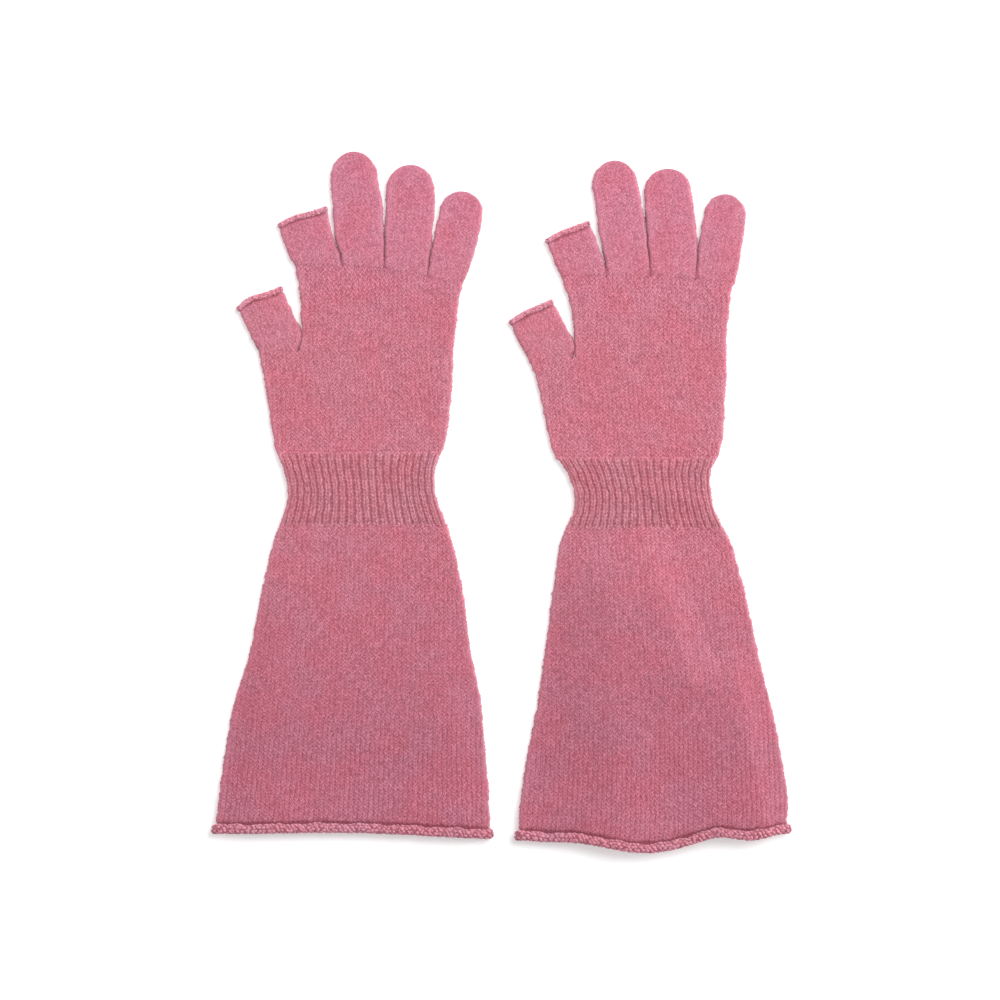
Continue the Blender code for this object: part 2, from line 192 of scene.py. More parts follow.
RIGHT = Glove(
    name="right",
    fingers=(
        Finger("finger_index", 0.0, 0.27, 0.0, (Bend(-0.8, 0.4, 0.5, 0.6),), (Touch(1, 149.9, 0.4),), (
            Row(45.8, 147.3, 28.8, 12.0),
            Row(40.5, 160.7, 28.0, 23.5),
        )),
        Finger("finger_middle", 0.27, 0.514, 15.2, (), (Touch(-1, 149.9, 0.4), Touch(1, 170.8, 0.38)), (
            Row(73.9, 156.3, 28.2, 0.0),
            Row(70.8, 177.9, 28.4, 0.0),
            Row(68.8, 188.7, 27.9, 0.0),
        )),
        Finger("finger_ring", 0.514, 0.769, 13.0, (), (Touch(-1, 170.8, 0.38), Touch(1, 157.7, 0.5)), (
            Row(103.4, 156.3, 30.0, 0.0),
            Row(101.6, 174.3, 30.0, 0.0),
            Row(100.6, 186.0, 28.0, 0.0),
        )),
        Finger("finger_little", 0.769, 1.0, 13.0, (), (Touch(-1, 157.7, 0.5),), (
            Row(132.7, 155.4, 26.2, -4.0),
            Row(134.9, 170.7, 25.4, -7.0),
        )),
    ),
    thumb=Finger("thumb", 0.0, 0.231, 0.0, (Bend(-0.9, 0.4, 0.5, 0.6),), (Touch(1, 101.5, 1.7, 16.0),), (
        Row(27.2, 95.0, 31.0, 7.0),
        Row(18.5, 112.7, 28.4, 27.0),
    )),
    seam_bends=(Bend(-3.0, 0.5, 0.6, 0.6),),
    seam_fade=14.1,
    thumb_wales=11,
    thumb_edge=10.7,
    knuckles=(
        Row(88.7, 132.0, 105.4, -2.0),
        Row(88.6, 126.6, 100.6, -1.0),
        Row(90.0, 117.9, 96.6, 0.0),
        Row(90.2, 103.5, 92.6, 0.0),
        Row(90.3, 85.8, 91.6, 0.0),
    ),
    palm=(
        Row(76.0, 85.8, 119.7, 0.0),
        Row(78.6, 72.3, 114.6, 0.0),
        Row(81.0, 42.3, 106.2, 0.0),
        Row(81.6, 30.3, 101.4, 0.0),
        Row(81.9, 24.3, 96.0, 0.0),
    ),
    wrist=(
        Row(81.9, 24.3, 96.0, 0.0),
        Row(83.4, 15.3, 85.8, 0.0),
        Row(85.6, 3.3, 82.5, 0.0),
        Row(86.4, -6.9, 85.8, 0.0),
        Row(86.8, -15.9, 94.5, 0.0),
    ),
    cuff=(
        Row(86.8, -15.9, 94.5, 0.0),
        Row(87.6, -29.7, 105.0, 0.0),
        Row(89.1, -53.7, 115.2, 0.0),
        Row(90.6, -89.7, 127.8, 0.0),
        Row(92.1, -119.7, 139.2, 0.0),
        Row(92.5, -150.0, 151.6, 0.0),
        Row(92.2, -180.0, 161.0, 0.5),
        Row(91.5, -199.2, 161.6, 1.5),
    ),
    hem_bends=(
        Bend(9.0, 0.49, 0.37, 0.31),
        Bend(3.0, 0.86, 0.14, 0.13),
        Bend(1.4, 0.12, 0.12, 0.2),
    ),
    folds=(
        Fold(64.0, -17.0, 74.0, -250.0, 7.2, 46.0, 84.0),
        Fold(82.0, -14.0, 120.0, -126.0, 4.4, 44.0, 19.0),
        Fold(137.0, -80.0, 167.0, -245.0, 6.6, 58.0, 22.0),
    ),
    wrist_folds=(Fold(84.0, 3.0, 140.0, -3.0, 2.0, 12.0, 16.0),),
)

# Wales round the upper face of each tube, and the palm's wale at which the knuckles start
PALM_WALES = 46
KNUCKLE_WALES = 40
KNUCKLES_FROM = 8
CUFF_WALES = 56
THUMB_WALES = 12
FINGER_WALES = 12
RIB_WALES = 22

# The width of a wale at the cuff's top, and how many courses from the hem the
# cuff's wales stand further apart
CUFF_TOP_PITCH = 2.6
CUFF_GROOVED = 34.0

# Relief of the fingers' stitches as a share of the others'
FINGER_RELIEF = 0.55

# How far the rib reaches over its neighbours, how soon it swells to its own height,
# how far its ends stand over plain cloth, and how its wales crowd at its sides
RIB_OVERLAP = 0.8
RIB_SWELL = 4.0
RIB_LIP = 0.05
RIB_CROWD = 0.1

# The steps that draw one wale on the upper face and on the underside
UPPER_SHARES = tuple(k / 6.0 for k in range(6))
RIB_SHARES = (0.0, 0.06, 0.13, 0.25, 0.38, 0.5, 0.62, 0.75, 0.87, 0.94)
UNDER_STEPS = 3

# Rows of points in a course, on an inner wall and between two rows of a table
ROWS_A_COURSE = 2
INNER_ROWS = 10
SPLINE_SPANS = 12
FEWEST_COURSES = 4
CUT_STEPS = 400

# How far round a closed tip its rows go before they meet in one point, and how far
# past the last of them the inner wall's point is
TIP_END = math.radians(86.0)
INNER_TIP = 0.1

# How far along a tube's foot is drawn to its neighbour's edge, and how far past the
# upper face's sides
FOOT_REACH = 6.0
FOOT_MARGIN = 0.05

# At an end that stops: the courses over which the slant of the stitches fades, and
# the relief that the last of them keeps
SLANT_FADE = 1.5
END_RELIEF = 0.45

# Wales and courses narrower than these stand out less
FULL_PITCH = 2.4
FULL_COURSE = 1.7

# How far from a folded edge the yarn is painted paler as a sheen, and how far from a
# crotch this painted sheen shows in full
RIM_REACH = 8.0
CROTCH_REACH = 26.0

# The painted shade between two fingers that lie against each other, and how far from
# its foot a finger bulges in full
TOUCH_SHADE = 0.85
TOUCH_SHADE_REACH = 3.2
TOUCH_SHADE_FADE = 6.0
TOUCH_FROM_FOOT = 4.0

# How strongly cloth sinks and darkens at its end, how far from it, and over which share
# of that reach in full: painted shade under a rolled edge, and at the knuckles a darker
# seam row
Seam = namedtuple("Seam", "strength reach")
SEAM_FULL = 0.65
NO_SEAM = Seam(0.0, 1.0)
# The hem's and the fingers' rolled edges get painted shade; the knuckles' is a darker seam row
HEM_PAINTED_SHADE = Seam(1.0, 3.3)
FINGER_PAINTED_SHADE = Seam(0.9, 2.2)
KNUCKLE_SEAM = Seam(0.15, 1.8)

# The core of a rolled edge, how deep the middles of its purl bumps lie in it, and
# how far they stray: in wales, in courses and in degrees of lean
CORE_SIDES = 10
BUMP_SINK = 0.82
BUMP_SEED = 5
WALE_STRAY = 0.26
COURSE_STRAY = 0.24
LEAN_STRAY = 50.0
SLOPE_STEP = 0.05

# The purl bumps of a rolled edge: their number round the tube and round the roll,
# the size of one in metres, which the hem's have as shares of their length, their
# lean in degrees, and the roll's yarn with the depth of its painted shade
Bumps = namedtuple("Bumps", "wales courses size lean dye depth")
FINGER_BUMPS = Bumps(wales=38, courses=7, size=(0.0024, 0.0012, 0.0008), lean=35.0, dye="tip", depth=0.45)
HEM_BUMPS = Bumps(wales=126, courses=8, size=(1.0, 0.72, 0.5), lean=18.0, dye="edge", depth=0.6)

# A rolled edge in its place: the tube's last row, its roll, bends and folds
Edge = namedtuple("Edge", "section roll bends folds")

NO_TRIANGLES = np.zeros((0, 3), dtype=np.int64)


def smooth_step(value):
    value = np.clip(value, 0.0, 1.0)
    return value * value * (3.0 - 2.0 * value)


def hump(distance, reach):
    """A rounded hump: 1 in the middle and 0 from reach on."""
    near = np.clip(np.abs(distance) / reach, 0.0, 1.0)
    return np.cos(0.5 * np.pi * near) ** 2


def bend_at(bends, share):
    """How far an edge is bent towards the hem at a share of its width."""
    depth = np.zeros_like(share)
    for bend in bends:
        offset = share - bend.middle
        depth += bend.depth * hump(offset, np.where(offset < 0.0, bend.left, bend.right))
    return depth


def fold_rise(folds, x, y):
    """How far the folds lift the upper layer at points in plan."""
    rise = np.zeros_like(x)
    for fold in folds:
        line_x = fold.x2 - fold.x1
        line_y = fold.y2 - fold.y1
        length = math.hypot(line_x, line_y)
        here_x = x - fold.x1
        here_y = y - fold.y1
        along = (here_x * line_x + here_y * line_y) / length**2
        aside = (here_x * line_y - here_y * line_x) / length
        near = aside / np.where(aside < 0.0, fold.right, fold.left)
        crest = np.clip(1.0 - np.hypot(near, CREST), 0.0, 1.0) ** CREST_FALL
        ends = smooth_step(along / FOLD_FADE) * smooth_step((1.0 - along) / FOLD_FADE)
        rise += fold.rise * ends * crest
    return rise


def fold_lift(folds, flat, core, angle, x, y):
    """The folds' lift of points on a tube, whose underside and folded edges stay down."""
    flatness = np.clip(np.abs(core) / np.maximum(flat, TINY), 0.0, 1.0)
    top = np.where(angle > 0.0, 0.0, 1.0 - flatness**EDGE_HOLD)
    return top * fold_rise(folds, x, y)


def on_ring(arc, flat, radius):
    """Where arcs are on a flattened ring: the side, the turn round its end, the place on the flat."""
    side = np.where(arc < 0.0, -1.0, 1.0)
    over = np.abs(arc) - flat
    angle = np.clip(over / np.maximum(radius, TINY), 0.0, math.pi)
    core = side * (np.minimum(np.abs(arc), flat) - np.maximum(over - math.pi * radius, 0.0))
    return side, angle, core


def from_middle(arc, girth):
    """Arcs brought to within half a girth of the middle of the upper face."""
    return (arc + girth / 2.0) % girth - girth / 2.0


def smooth_rows(rows):
    """Rows on a smooth curve through the given ones."""
    given = np.array(rows, dtype=float)
    first = 2.0 * given[0] - given[1]
    last = 2.0 * given[-1] - given[-2]
    padded = np.vstack([first, given, last])
    result = []
    for before, start, end, after in zip(padded, padded[1:], padded[2:], padded[3:]):
        for step in range(SPLINE_SPANS):
            t = step / SPLINE_SPANS
            result.append(0.5 * (
                2.0 * start
                + (end - before) * t
                + (2.0 * before - 5.0 * start + 4.0 * end - after) * t**2
                + (3.0 * start - before - 3.0 * end + after) * t**3
            ))
    result.append(given[-1])
    return np.array(result)


def moved(row, distance):
    """A row moved along its own way ahead."""
    angle = math.radians(row.tilt)
    return row._replace(
        x=row.x - math.sin(angle) * distance,
        y=row.y + math.cos(angle) * distance,
    )


class Lay:
    """How one flattened tube of cloth lies, from its hem side to its finger side."""

    def __init__(self, rows, wall=KNIT_WALL, tip=0.0, bends=(), folds=()):
        rows = sorted(rows, key=lambda row: row.y)
        self.table = smooth_rows(rows)
        steps = np.hypot(np.diff(self.table[:, 0]), np.diff(self.table[:, 1]))
        self.reach = np.concatenate(([0.0], np.cumsum(steps)))
        self.straight = float(self.reach[-1])
        self.tip = tip
        self.radius = wall + SLIT / 2.0
        self.bends = bends
        self.folds = folds
        self.lift = lambda t: 0.0 * t
        self.bend_part = lambda t: 0.0 * t
        self.swell = lambda t: 1.0 + 0.0 * t
        self.touches = ()

    @property
    def length(self):
        return self.straight + self.tip

    def value(self, column, t):
        return np.interp(t, self.reach, self.table[:, column])

    def narrowing(self, t):
        """How much narrower a closed tip is at t, from 1 to 0."""
        if not self.tip:
            return 1.0 + 0.0 * t
        beyond = np.clip((t - self.straight) / self.tip, 0.0, 1.0)
        return np.sqrt(1.0 - beyond**2)

    def half(self, t):
        return self.value(2, t) / 2.0 * self.narrowing(t)

    def tube(self, t):
        """Half of the tube's height at t."""
        return self.radius * self.swell(t) * np.sqrt(self.narrowing(t))

    def flat(self, t):
        return np.maximum(self.half(t) - self.tube(t), 0.0)

    def girth(self, t):
        """The way all round the tube at t."""
        return 4.0 * self.flat(t) + 2.0 * math.pi * self.tube(t)

    def upper(self, t):
        """The width of the upper face, measured over its two folded edges."""
        return self.girth(t) / 2.0

    def place(self, arc, t, inner=False):
        """Points at arcs round the section and distances along, and which way they face."""
        arc, t = np.broadcast_arrays(arc, t)
        held = np.clip(t, 0.0, self.straight)
        half = np.maximum(self.half(t), TINY)
        tube = self.tube(t)
        flat = self.flat(t)
        arc = from_middle(arc, np.maximum(self.girth(t), TINY))
        side, angle, core = on_ring(arc, flat, tube)
        skin = SLIT / 2.0 * np.sqrt(self.narrowing(t)) if inner else tube
        up = np.cos(angle)
        aside = side * np.sin(angle)
        offset = core + aside * skin
        middle = self.radius if self.tip else tube
        share = 0.5 + offset / (2.0 * half)
        forward = t - held - bend_at(self.bends, share) * self.bend_part(held)
        tilt = np.radians(self.value(3, held))
        x = self.value(0, held) + np.cos(tilt) * offset - np.sin(tilt) * forward
        y = self.value(1, held) + np.sin(tilt) * offset + np.cos(tilt) * forward
        for touch in self.touches:
            sideways = smooth_step(touch.way * offset / half) ** 2
            close = smooth_step((touch.y - y) / touch.fade + 0.5) * smooth_step(held / TOUCH_FROM_FOOT)
            x = x + touch.way * touch.bulge * sideways * close
        z = self.lift(held) + middle + up * skin + fold_lift(self.folds, flat, core, angle, x, y)
        facing = np.stack([np.cos(tilt) * aside, np.sin(tilt) * aside, up], axis=-1)
        return np.stack([x, y, z], axis=-1), facing


# What the stitches of one tube follow: the wales on its upper face, their pitch
# at the foot and the head or None where they share the width, which edge they
# are counted from, how far they drift at the foot, how they crowd, the steps of
# one wale, and where they run on into the next tube
Stitches = namedtuple(
    "Stitches",
    "wales pitch anchor drift crowd shares foot_runs_on head_runs_on",
    defaults=(None, 0.0, 0.0, 0.0, UPPER_SHARES, False, False),
)


def arcs(lay, plan, wale, t):
    """Where wales lie round the section, in mm from the middle of the upper face, and their pitch."""
    upper = lay.upper(t)
    if plan.pitch is None:
        pitch = upper / plan.wales
    else:
        pitch = np.interp(t, (0.0, lay.straight), plan.pitch) * lay.narrowing(t)
    width = pitch * plan.wales
    left = plan.anchor * (upper - width) / 2.0 - width / 2.0
    left = left + plan.drift * (1.0 - smooth_step(t / lay.straight)) * (t <= lay.straight)
    under_pitch = (2.0 * upper - width) / plan.wales
    above = np.minimum(wale, plan.wales)
    place = 2.0 * above / plan.wales - 1.0
    above = above + plan.crowd * plan.wales * np.sin(math.pi * place) / (2.0 * math.pi)
    below = np.maximum(wale - plan.wales, 0.0)
    return left + pitch * above + under_pitch * below, np.where(wale > plan.wales, under_pitch, pitch)


def slant(wale):
    """How far a point of a stitch is shifted along the tube, from -0.5 to 0.5."""
    return np.abs(2.0 * (wale % 1.0) - 1.0) - 0.5


def wale_columns(plan):
    """The wale number of every column round a tube, fine above and coarse below."""
    above = [w + share for w in range(plan.wales) for share in plan.shares]
    below = [plan.wales + k / UNDER_STEPS for k in range(plan.wales * UNDER_STEPS)]
    return np.array(above + below)


def course_rows(lay, knit):
    """Distance along, course number and height of a course for every row of a tube."""
    courses = max(FEWEST_COURSES, round(lay.straight / knit.course))
    height = lay.straight / courses
    count = np.arange(courses * ROWS_A_COURSE + 1) / ROWS_A_COURSE
    t = count * height
    heights = np.full_like(t, height)
    if lay.tip:
        way = math.pi / 2.0 * math.hypot(lay.tip, lay.half(lay.straight)) / math.sqrt(2.0)
        steps = round(way * ROWS_A_COURSE / height)
        angles = TIP_END * np.arange(1, steps + 1) / steps
        t = np.concatenate([t, lay.straight + lay.tip * np.sin(angles)])
        count = np.concatenate([count, courses + np.arange(1, steps + 1) / ROWS_A_COURSE])
        shrunk = lay.tip * np.cos(angles) * TIP_END / steps * ROWS_A_COURSE
        heights = np.concatenate([heights, np.minimum(shrunk, height)])
    return t, count, heights


def row_shift(lay, plan, knit, t, heights, wale):
    """How far each stitch point is slanted along the tube, level at the ends that stop."""
    still = np.ones_like(t)
    fade = SLANT_FADE * heights[0]
    if not plan.foot_runs_on:
        still = still * smooth_step(t / fade)
    if not plan.head_runs_on and not lay.tip:
        still = still * smooth_step((lay.length - t) / fade)
    return (knit.slant * heights * still)[:, None] * slant(wale)[None, :]


def end_relief(lay, plan, along, height):
    """How far the stitches of each row stand out: less at the ends that stop."""
    relief = np.ones(len(along))
    if not plan.foot_runs_on:
        relief = relief * smooth_step(2.0 * along[:, 0] / height + END_RELIEF)
    if not plan.head_runs_on and not lay.tip:
        relief = relief * smooth_step(2.0 * (lay.length - along[:, 0]) / height + END_RELIEF)
    return relief


def seam_shade(lay, along, seams_and_shades):
    """How far the cloth sinks into painted shade under a rolled edge near its foot and its head, and
    darkens at a seam.
    """
    shade = np.zeros_like(along)
    for away, seam in zip((along, lay.length - along), seams_and_shades):
        fade = smooth_step((away / seam.reach - SEAM_FULL) / (1.0 - SEAM_FULL))
        shade = np.maximum(shade, seam.strength * (1.0 - fade))
    return shade


def side_shade(lay, arc, along, y):
    """The painted sheen that makes the folded edges paler, and the painted shade on the cloth against a
    neighbour.
    """
    girth = np.maximum(lay.girth(along), TINY)
    centred = from_middle(arc, girth)
    from_side = np.abs(np.abs(centred) - lay.girth(along) / 4.0)
    # Painted sheen: the yarn grows paler towards the folded edges
    rim = 1.0 - smooth_step(from_side / RIM_REACH)
    dark = np.zeros_like(along)
    if lay.touches:
        rim = rim * smooth_step(along / CROTCH_REACH)
    # Painted shade where a finger lies against its neighbour
    for touch in lay.touches:
        low = smooth_step((touch.y - y) / TOUCH_SHADE_FADE + 0.5)
        near = (1.0 - smooth_step(from_side / TOUCH_SHADE_REACH)) * (centred * touch.way > 0.0)
        dark = np.maximum(dark, TOUCH_SHADE * low * near)
    return rim, dark


def grid_faces(first, rows, columns, inwards=False):
    """Quads over a grid that closes round its columns."""
    j = np.arange(columns)
    following = (j + 1) % columns
    quads = []
    for i in range(rows - 1):
        low = first + i * columns
        high = low + columns
        quads.append(np.stack([low + j, low + following, high + following, high + j], axis=1))
    quads = np.concatenate(quads)
    return quads[:, ::-1] if inwards else quads


def strip(outer, inner, columns, towards_foot):
    """Quads that join the outer wall to the inner one at a mouth."""
    j = np.arange(columns)
    following = (j + 1) % columns
    if towards_foot:
        return np.stack([outer + following, outer + j, inner + j, inner + following], axis=1)
    return np.stack([outer + j, outer + following, inner + following, inner + j], axis=1)


def tube_faces(rows, columns, closed):
    """Quads of a tube's two walls and its mouths, and the triangles of a closed tip."""
    inside = rows * columns
    last = inside + (INNER_ROWS - 1) * columns
    quads = [
        grid_faces(0, rows, columns),
        grid_faces(inside, INNER_ROWS, columns, inwards=True),
        strip(0, inside, columns, towards_foot=True),
    ]
    if not closed:
        quads.append(strip(inside - columns, last, columns, towards_foot=False))
        return np.concatenate(quads), NO_TRIANGLES
    j = np.arange(columns)
    following = (j + 1) % columns
    apex = np.full(columns, last + columns)
    outer_fan = np.stack([inside - columns + j, inside - columns + following, apex], axis=1)
    inner_fan = np.stack([last + following, last + j, apex + 1], axis=1)
    return np.concatenate(quads), np.concatenate([outer_fan, inner_fan])


def cloth_mesh(name, points, quads, triangles, attributes, rims=()):
    """A mesh object in metres from points in mm, with its point attributes."""
    mesh = bpy.data.meshes.new(name)
    corners = np.concatenate([quads.ravel(), triangles.ravel()]).astype(np.int32)
    starts = np.concatenate([
        np.arange(len(quads)) * 4,
        quads.size + np.arange(len(triangles)) * 3,
    ]).astype(np.int32)
    mesh.vertices.add(len(points))
    mesh.vertices.foreach_set("co", (points * MM).astype(np.float32).ravel())
    mesh.loops.add(len(corners))
    mesh.loops.foreach_set("vertex_index", corners)
    mesh.polygons.add(len(starts))
    mesh.polygons.foreach_set("loop_start", starts)
    mesh.update(calc_edges=True)
    for key, values in attributes.items():
        is_vector = values.ndim == 2
        layer = mesh.attributes.new(key, "FLOAT_VECTOR" if is_vector else "FLOAT", "POINT")
        layer.data.foreach_set("vector" if is_vector else "value", values.astype(np.float32).ravel())
    mesh.shade_smooth()
    if len(rims):
        ends = np.zeros(len(mesh.edges) * 2, dtype=np.int32)
        mesh.edges.foreach_get("vertices", ends)
        on_rim = np.isin(ends, rims).reshape(-1, 2).all(axis=1)
        mesh.attributes.new("sharp_edge", "BOOLEAN", "EDGE").data.foreach_set("value", on_rim)
    piece = bpy.data.objects.new(name, mesh)
    bpy.context.scene.collection.objects.link(piece)
    return piece


def knit_tube(name, lay, plan, knit, foot=None, seams_and_shades=(NO_SEAM, NO_SEAM)):
    """The plain walls of a tube, with its wales and courses as attributes."""
    wale = wale_columns(plan)
    t, count, heights = course_rows(lay, knit)
    shift = row_shift(lay, plan, knit, t, heights, wale)
    along = t[:, None] + shift
    arc, pitch = arcs(lay, plan, wale[None, :], along)
    outer, facing = lay.place(arc, along)
    if foot is not None:
        spots = foot(wale, shift[0])
        held = (np.abs(arc[0]) <= lay.upper(0.0) / 2.0 + FOOT_MARGIN) & (wale <= plan.wales)
        part = (1.0 - smooth_step(t / FOOT_REACH))[:, None] * held[None, :]
        outer = outer + part[..., None] * (spots - outer[0])[None, :, :]

    inner_end = lay.straight
    if lay.tip:
        inner_end += (lay.tip - lay.radius + SLIT / 2.0) * math.sin(TIP_END)
    inner_t = np.linspace(0.0, inner_end, INNER_ROWS)[:, None]
    inner_arc, _ = arcs(lay, plan, wale[None, :], inner_t)
    inner, inner_facing = lay.place(inner_arc, inner_t, inner=True)
    points = np.concatenate([outer.reshape(-1, 3), inner.reshape(-1, 3)])
    if lay.tip:
        tips = [lay.place(0.0, end)[0] for end in (lay.length, inner_end + INNER_TIP)]
        points = np.concatenate([points, np.array(tips)])
    rows, columns = along.shape
    quads, triangles = tube_faces(rows, columns, closed=bool(lay.tip))

    inside = rows * columns
    extra = len(points) - inside
    rim, dark = side_shade(lay, arc, along, outer[..., 1])
    fine = np.minimum(heights / FULL_COURSE, 1.0) * end_relief(lay, plan, along, heights[0])
    free = np.clip(facing[..., 2], 0.0, 1.0).ravel()
    inner_free = np.clip(inner_facing[..., 2], 0.0, 1.0).ravel()

    def outside(values):
        """Values on the outer wall, and 0 on the inner one."""
        return np.concatenate([np.broadcast_to(values, (rows, columns)).ravel(), np.zeros(extra)])

    attributes = {
        "wale": outside(wale[None, :]),
        "course": outside(count[:, None]),
        "gain": outside(np.minimum(pitch / FULL_PITCH, 1.0) * fine[:, None]),
        "free": np.concatenate([free, np.resize(inner_free, extra)]),
        # Painted shade at rolled ends and between touching fingers, with the knuckles' darker seam row
        "seam": outside(np.maximum(seam_shade(lay, along, seams_and_shades), dark)),
        # Painted sheen along the folded edges
        "rim": outside(rim),
        "facing": np.concatenate([facing.reshape(-1, 3), np.zeros((extra, 3))]),
    }
    mouths = [0] if lay.tip else [0, inside - columns]
    rims = np.concatenate([start + np.arange(columns) for start in mouths])
    return cloth_mesh(name, points, quads, triangles, attributes, rims)


def cut_of(lay):
    """The flat width and length in metres and area in square metres of a tube's cloth, all round."""
    t = np.linspace(0.0, lay.length, CUT_STEPS)
    girth = lay.girth(t)
    area = float(np.sum((girth[1:] + girth[:-1]) / 2.0 * np.diff(t)))
    return (float(girth.max()) * MM, lay.length * MM), area * MM * MM


def roll_points(edge, arc, turn, fullness):
    """Points on a rolled edge at arcs round the tube and turns round the roll."""
    section, roll, bends, folds = edge
    half = section.width / 2.0
    flat = half - EDGE_RADIUS
    path = roll.rise + SLIT / 2.0
    side, angle, core = on_ring(arc, flat, path)
    reach = path + roll.rise * np.cos(turn) * fullness
    offset = core + side * np.sin(angle) * reach
    tilt = math.radians(section.tilt)
    uneven = sum(part * np.sin(arc / wave) for part, wave in CURL_WAVES)
    forward = roll.depth * ((1.0 + uneven) * np.sin(turn) * fullness - roll.outward * uneven)
    forward = forward - bend_at(bends, 0.5 + offset / (2.0 * half))
    x = section.x + math.cos(tilt) * offset - math.sin(tilt) * forward
    y = section.y + math.sin(tilt) * offset + math.cos(tilt) * forward
    z = path + roll.rise + np.cos(angle) * reach + fold_lift(folds, flat, core, angle, x, y)
    return np.stack([x, y, z], axis=-1)


def unit(vectors):
    return vectors / np.linalg.norm(vectors, axis=-1, keepdims=True)


def rolled_edge(name, edge, bumps):
    """The core of a rolled edge and the seats of its purl bumps."""
    wales, courses = bumps.wales, bumps.courses
    flat = edge.section.width / 2.0 - EDGE_RADIUS
    girth = 4.0 * flat + 2.0 * math.pi * (edge.roll.rise + SLIT / 2.0)

    def spots(wale, course, fullness=BUMP_SINK):
        arc = wale / wales * girth - girth / 2.0
        turn = course / courses * 2.0 * math.pi
        arc, turn = np.broadcast_arrays(arc, turn)
        return roll_points(edge, arc, turn, fullness)

    core_course = (np.arange(CORE_SIDES) / CORE_SIDES * courses)[:, None]
    core = spots(np.arange(wales)[None, :], core_course).reshape(-1, 3)
    quads = grid_faces(0, CORE_SIDES + 1, wales) % len(core)

    chance = np.random.default_rng(BUMP_SEED)
    wale = np.arange(wales)[:, None] + 0.5 * (np.arange(courses) % 2)[None, :]
    course = np.broadcast_to(np.arange(courses) + 0.5, wale.shape)
    wale = wale + chance.uniform(-WALE_STRAY, WALE_STRAY, wale.shape)
    course = course + chance.uniform(-COURSE_STRAY, COURSE_STRAY, wale.shape)
    seat = spots(wale, course)
    ahead = unit(spots(wale + SLOPE_STEP, course) - spots(wale - SLOPE_STEP, course))
    around = unit(spots(wale, course + SLOPE_STEP) - spots(wale, course - SLOPE_STEP))
    normal = np.cross(ahead, around)
    middle = spots(wale, course, fullness=0.0)
    normal = normal * np.sign(np.sum(normal * (seat - middle), axis=-1, keepdims=True))
    lean = np.radians(bumps.lean + chance.uniform(-LEAN_STRAY, LEAN_STRAY, (*wale.shape, 1)))
    direction = np.cos(lean) * ahead - np.sin(lean) * around

    points = np.concatenate([core, seat.reshape(-1, 3)])
    blank = np.zeros_like(core)
    attributes = {
        "seat": np.concatenate([np.zeros(len(core)), np.ones(wale.size)]),
        "out": np.concatenate([blank, normal.reshape(-1, 3)]),
        "lie": np.concatenate([blank, direction.reshape(-1, 3)]),
    }
    first, second, third = points[quads[0][:3]]
    facing = np.cross(second - first, third - second)
    if np.dot(facing, first - middle[0, 0]) < 0.0:
        quads = quads[:, ::-1]
    return cloth_mesh(name, points, quads, NO_TRIANGLES, attributes)


class Wire:
    """A node's output that takes part in Python sums, each of which adds a Math node."""

    def __init__(self, net, socket):
        self.net = net
        self.socket = socket

    def beside(self, key):
        """Another output of the same node."""
        return Wire(self.net, self.net.socket(self.socket.node.outputs, key))

    def math(self, operation, *values):
        return self.net.make("ShaderNodeMath", {"operation": operation}, dict(enumerate(values)))

    def __add__(self, other):
        return self.math("ADD", self, other)

    def __sub__(self, other):
        return self.math("SUBTRACT", self, other)

    def __rsub__(self, other):
        return self.math("SUBTRACT", other, self)

    def __mul__(self, other):
        return self.math("MULTIPLY", self, other)

    __radd__ = __add__
    __rmul__ = __mul__

    def part(self):
        return self.math("FRACT", self)

    def whole(self):
        return self.math("FLOOR", self)

    def size(self):
        return self.math("ABSOLUTE", self)

    def sign(self):
        return self.math("SIGN", self)

    def sine(self):
        return self.math("SINE", self)

    def limited(self, low, high):
        """0 at low and 1 at high, limited and smooth between them."""
        settings = {"interpolation_type": "SMOOTHSTEP", "clamp": True}
        values = {"Value": self, "From Min": low, "From Max": high}
        return self.net.make("ShaderNodeMapRange", settings, values)


NODES_A_ROW = 12
NODE_STEP_X = 180.0
NODE_STEP_Y = -220.0


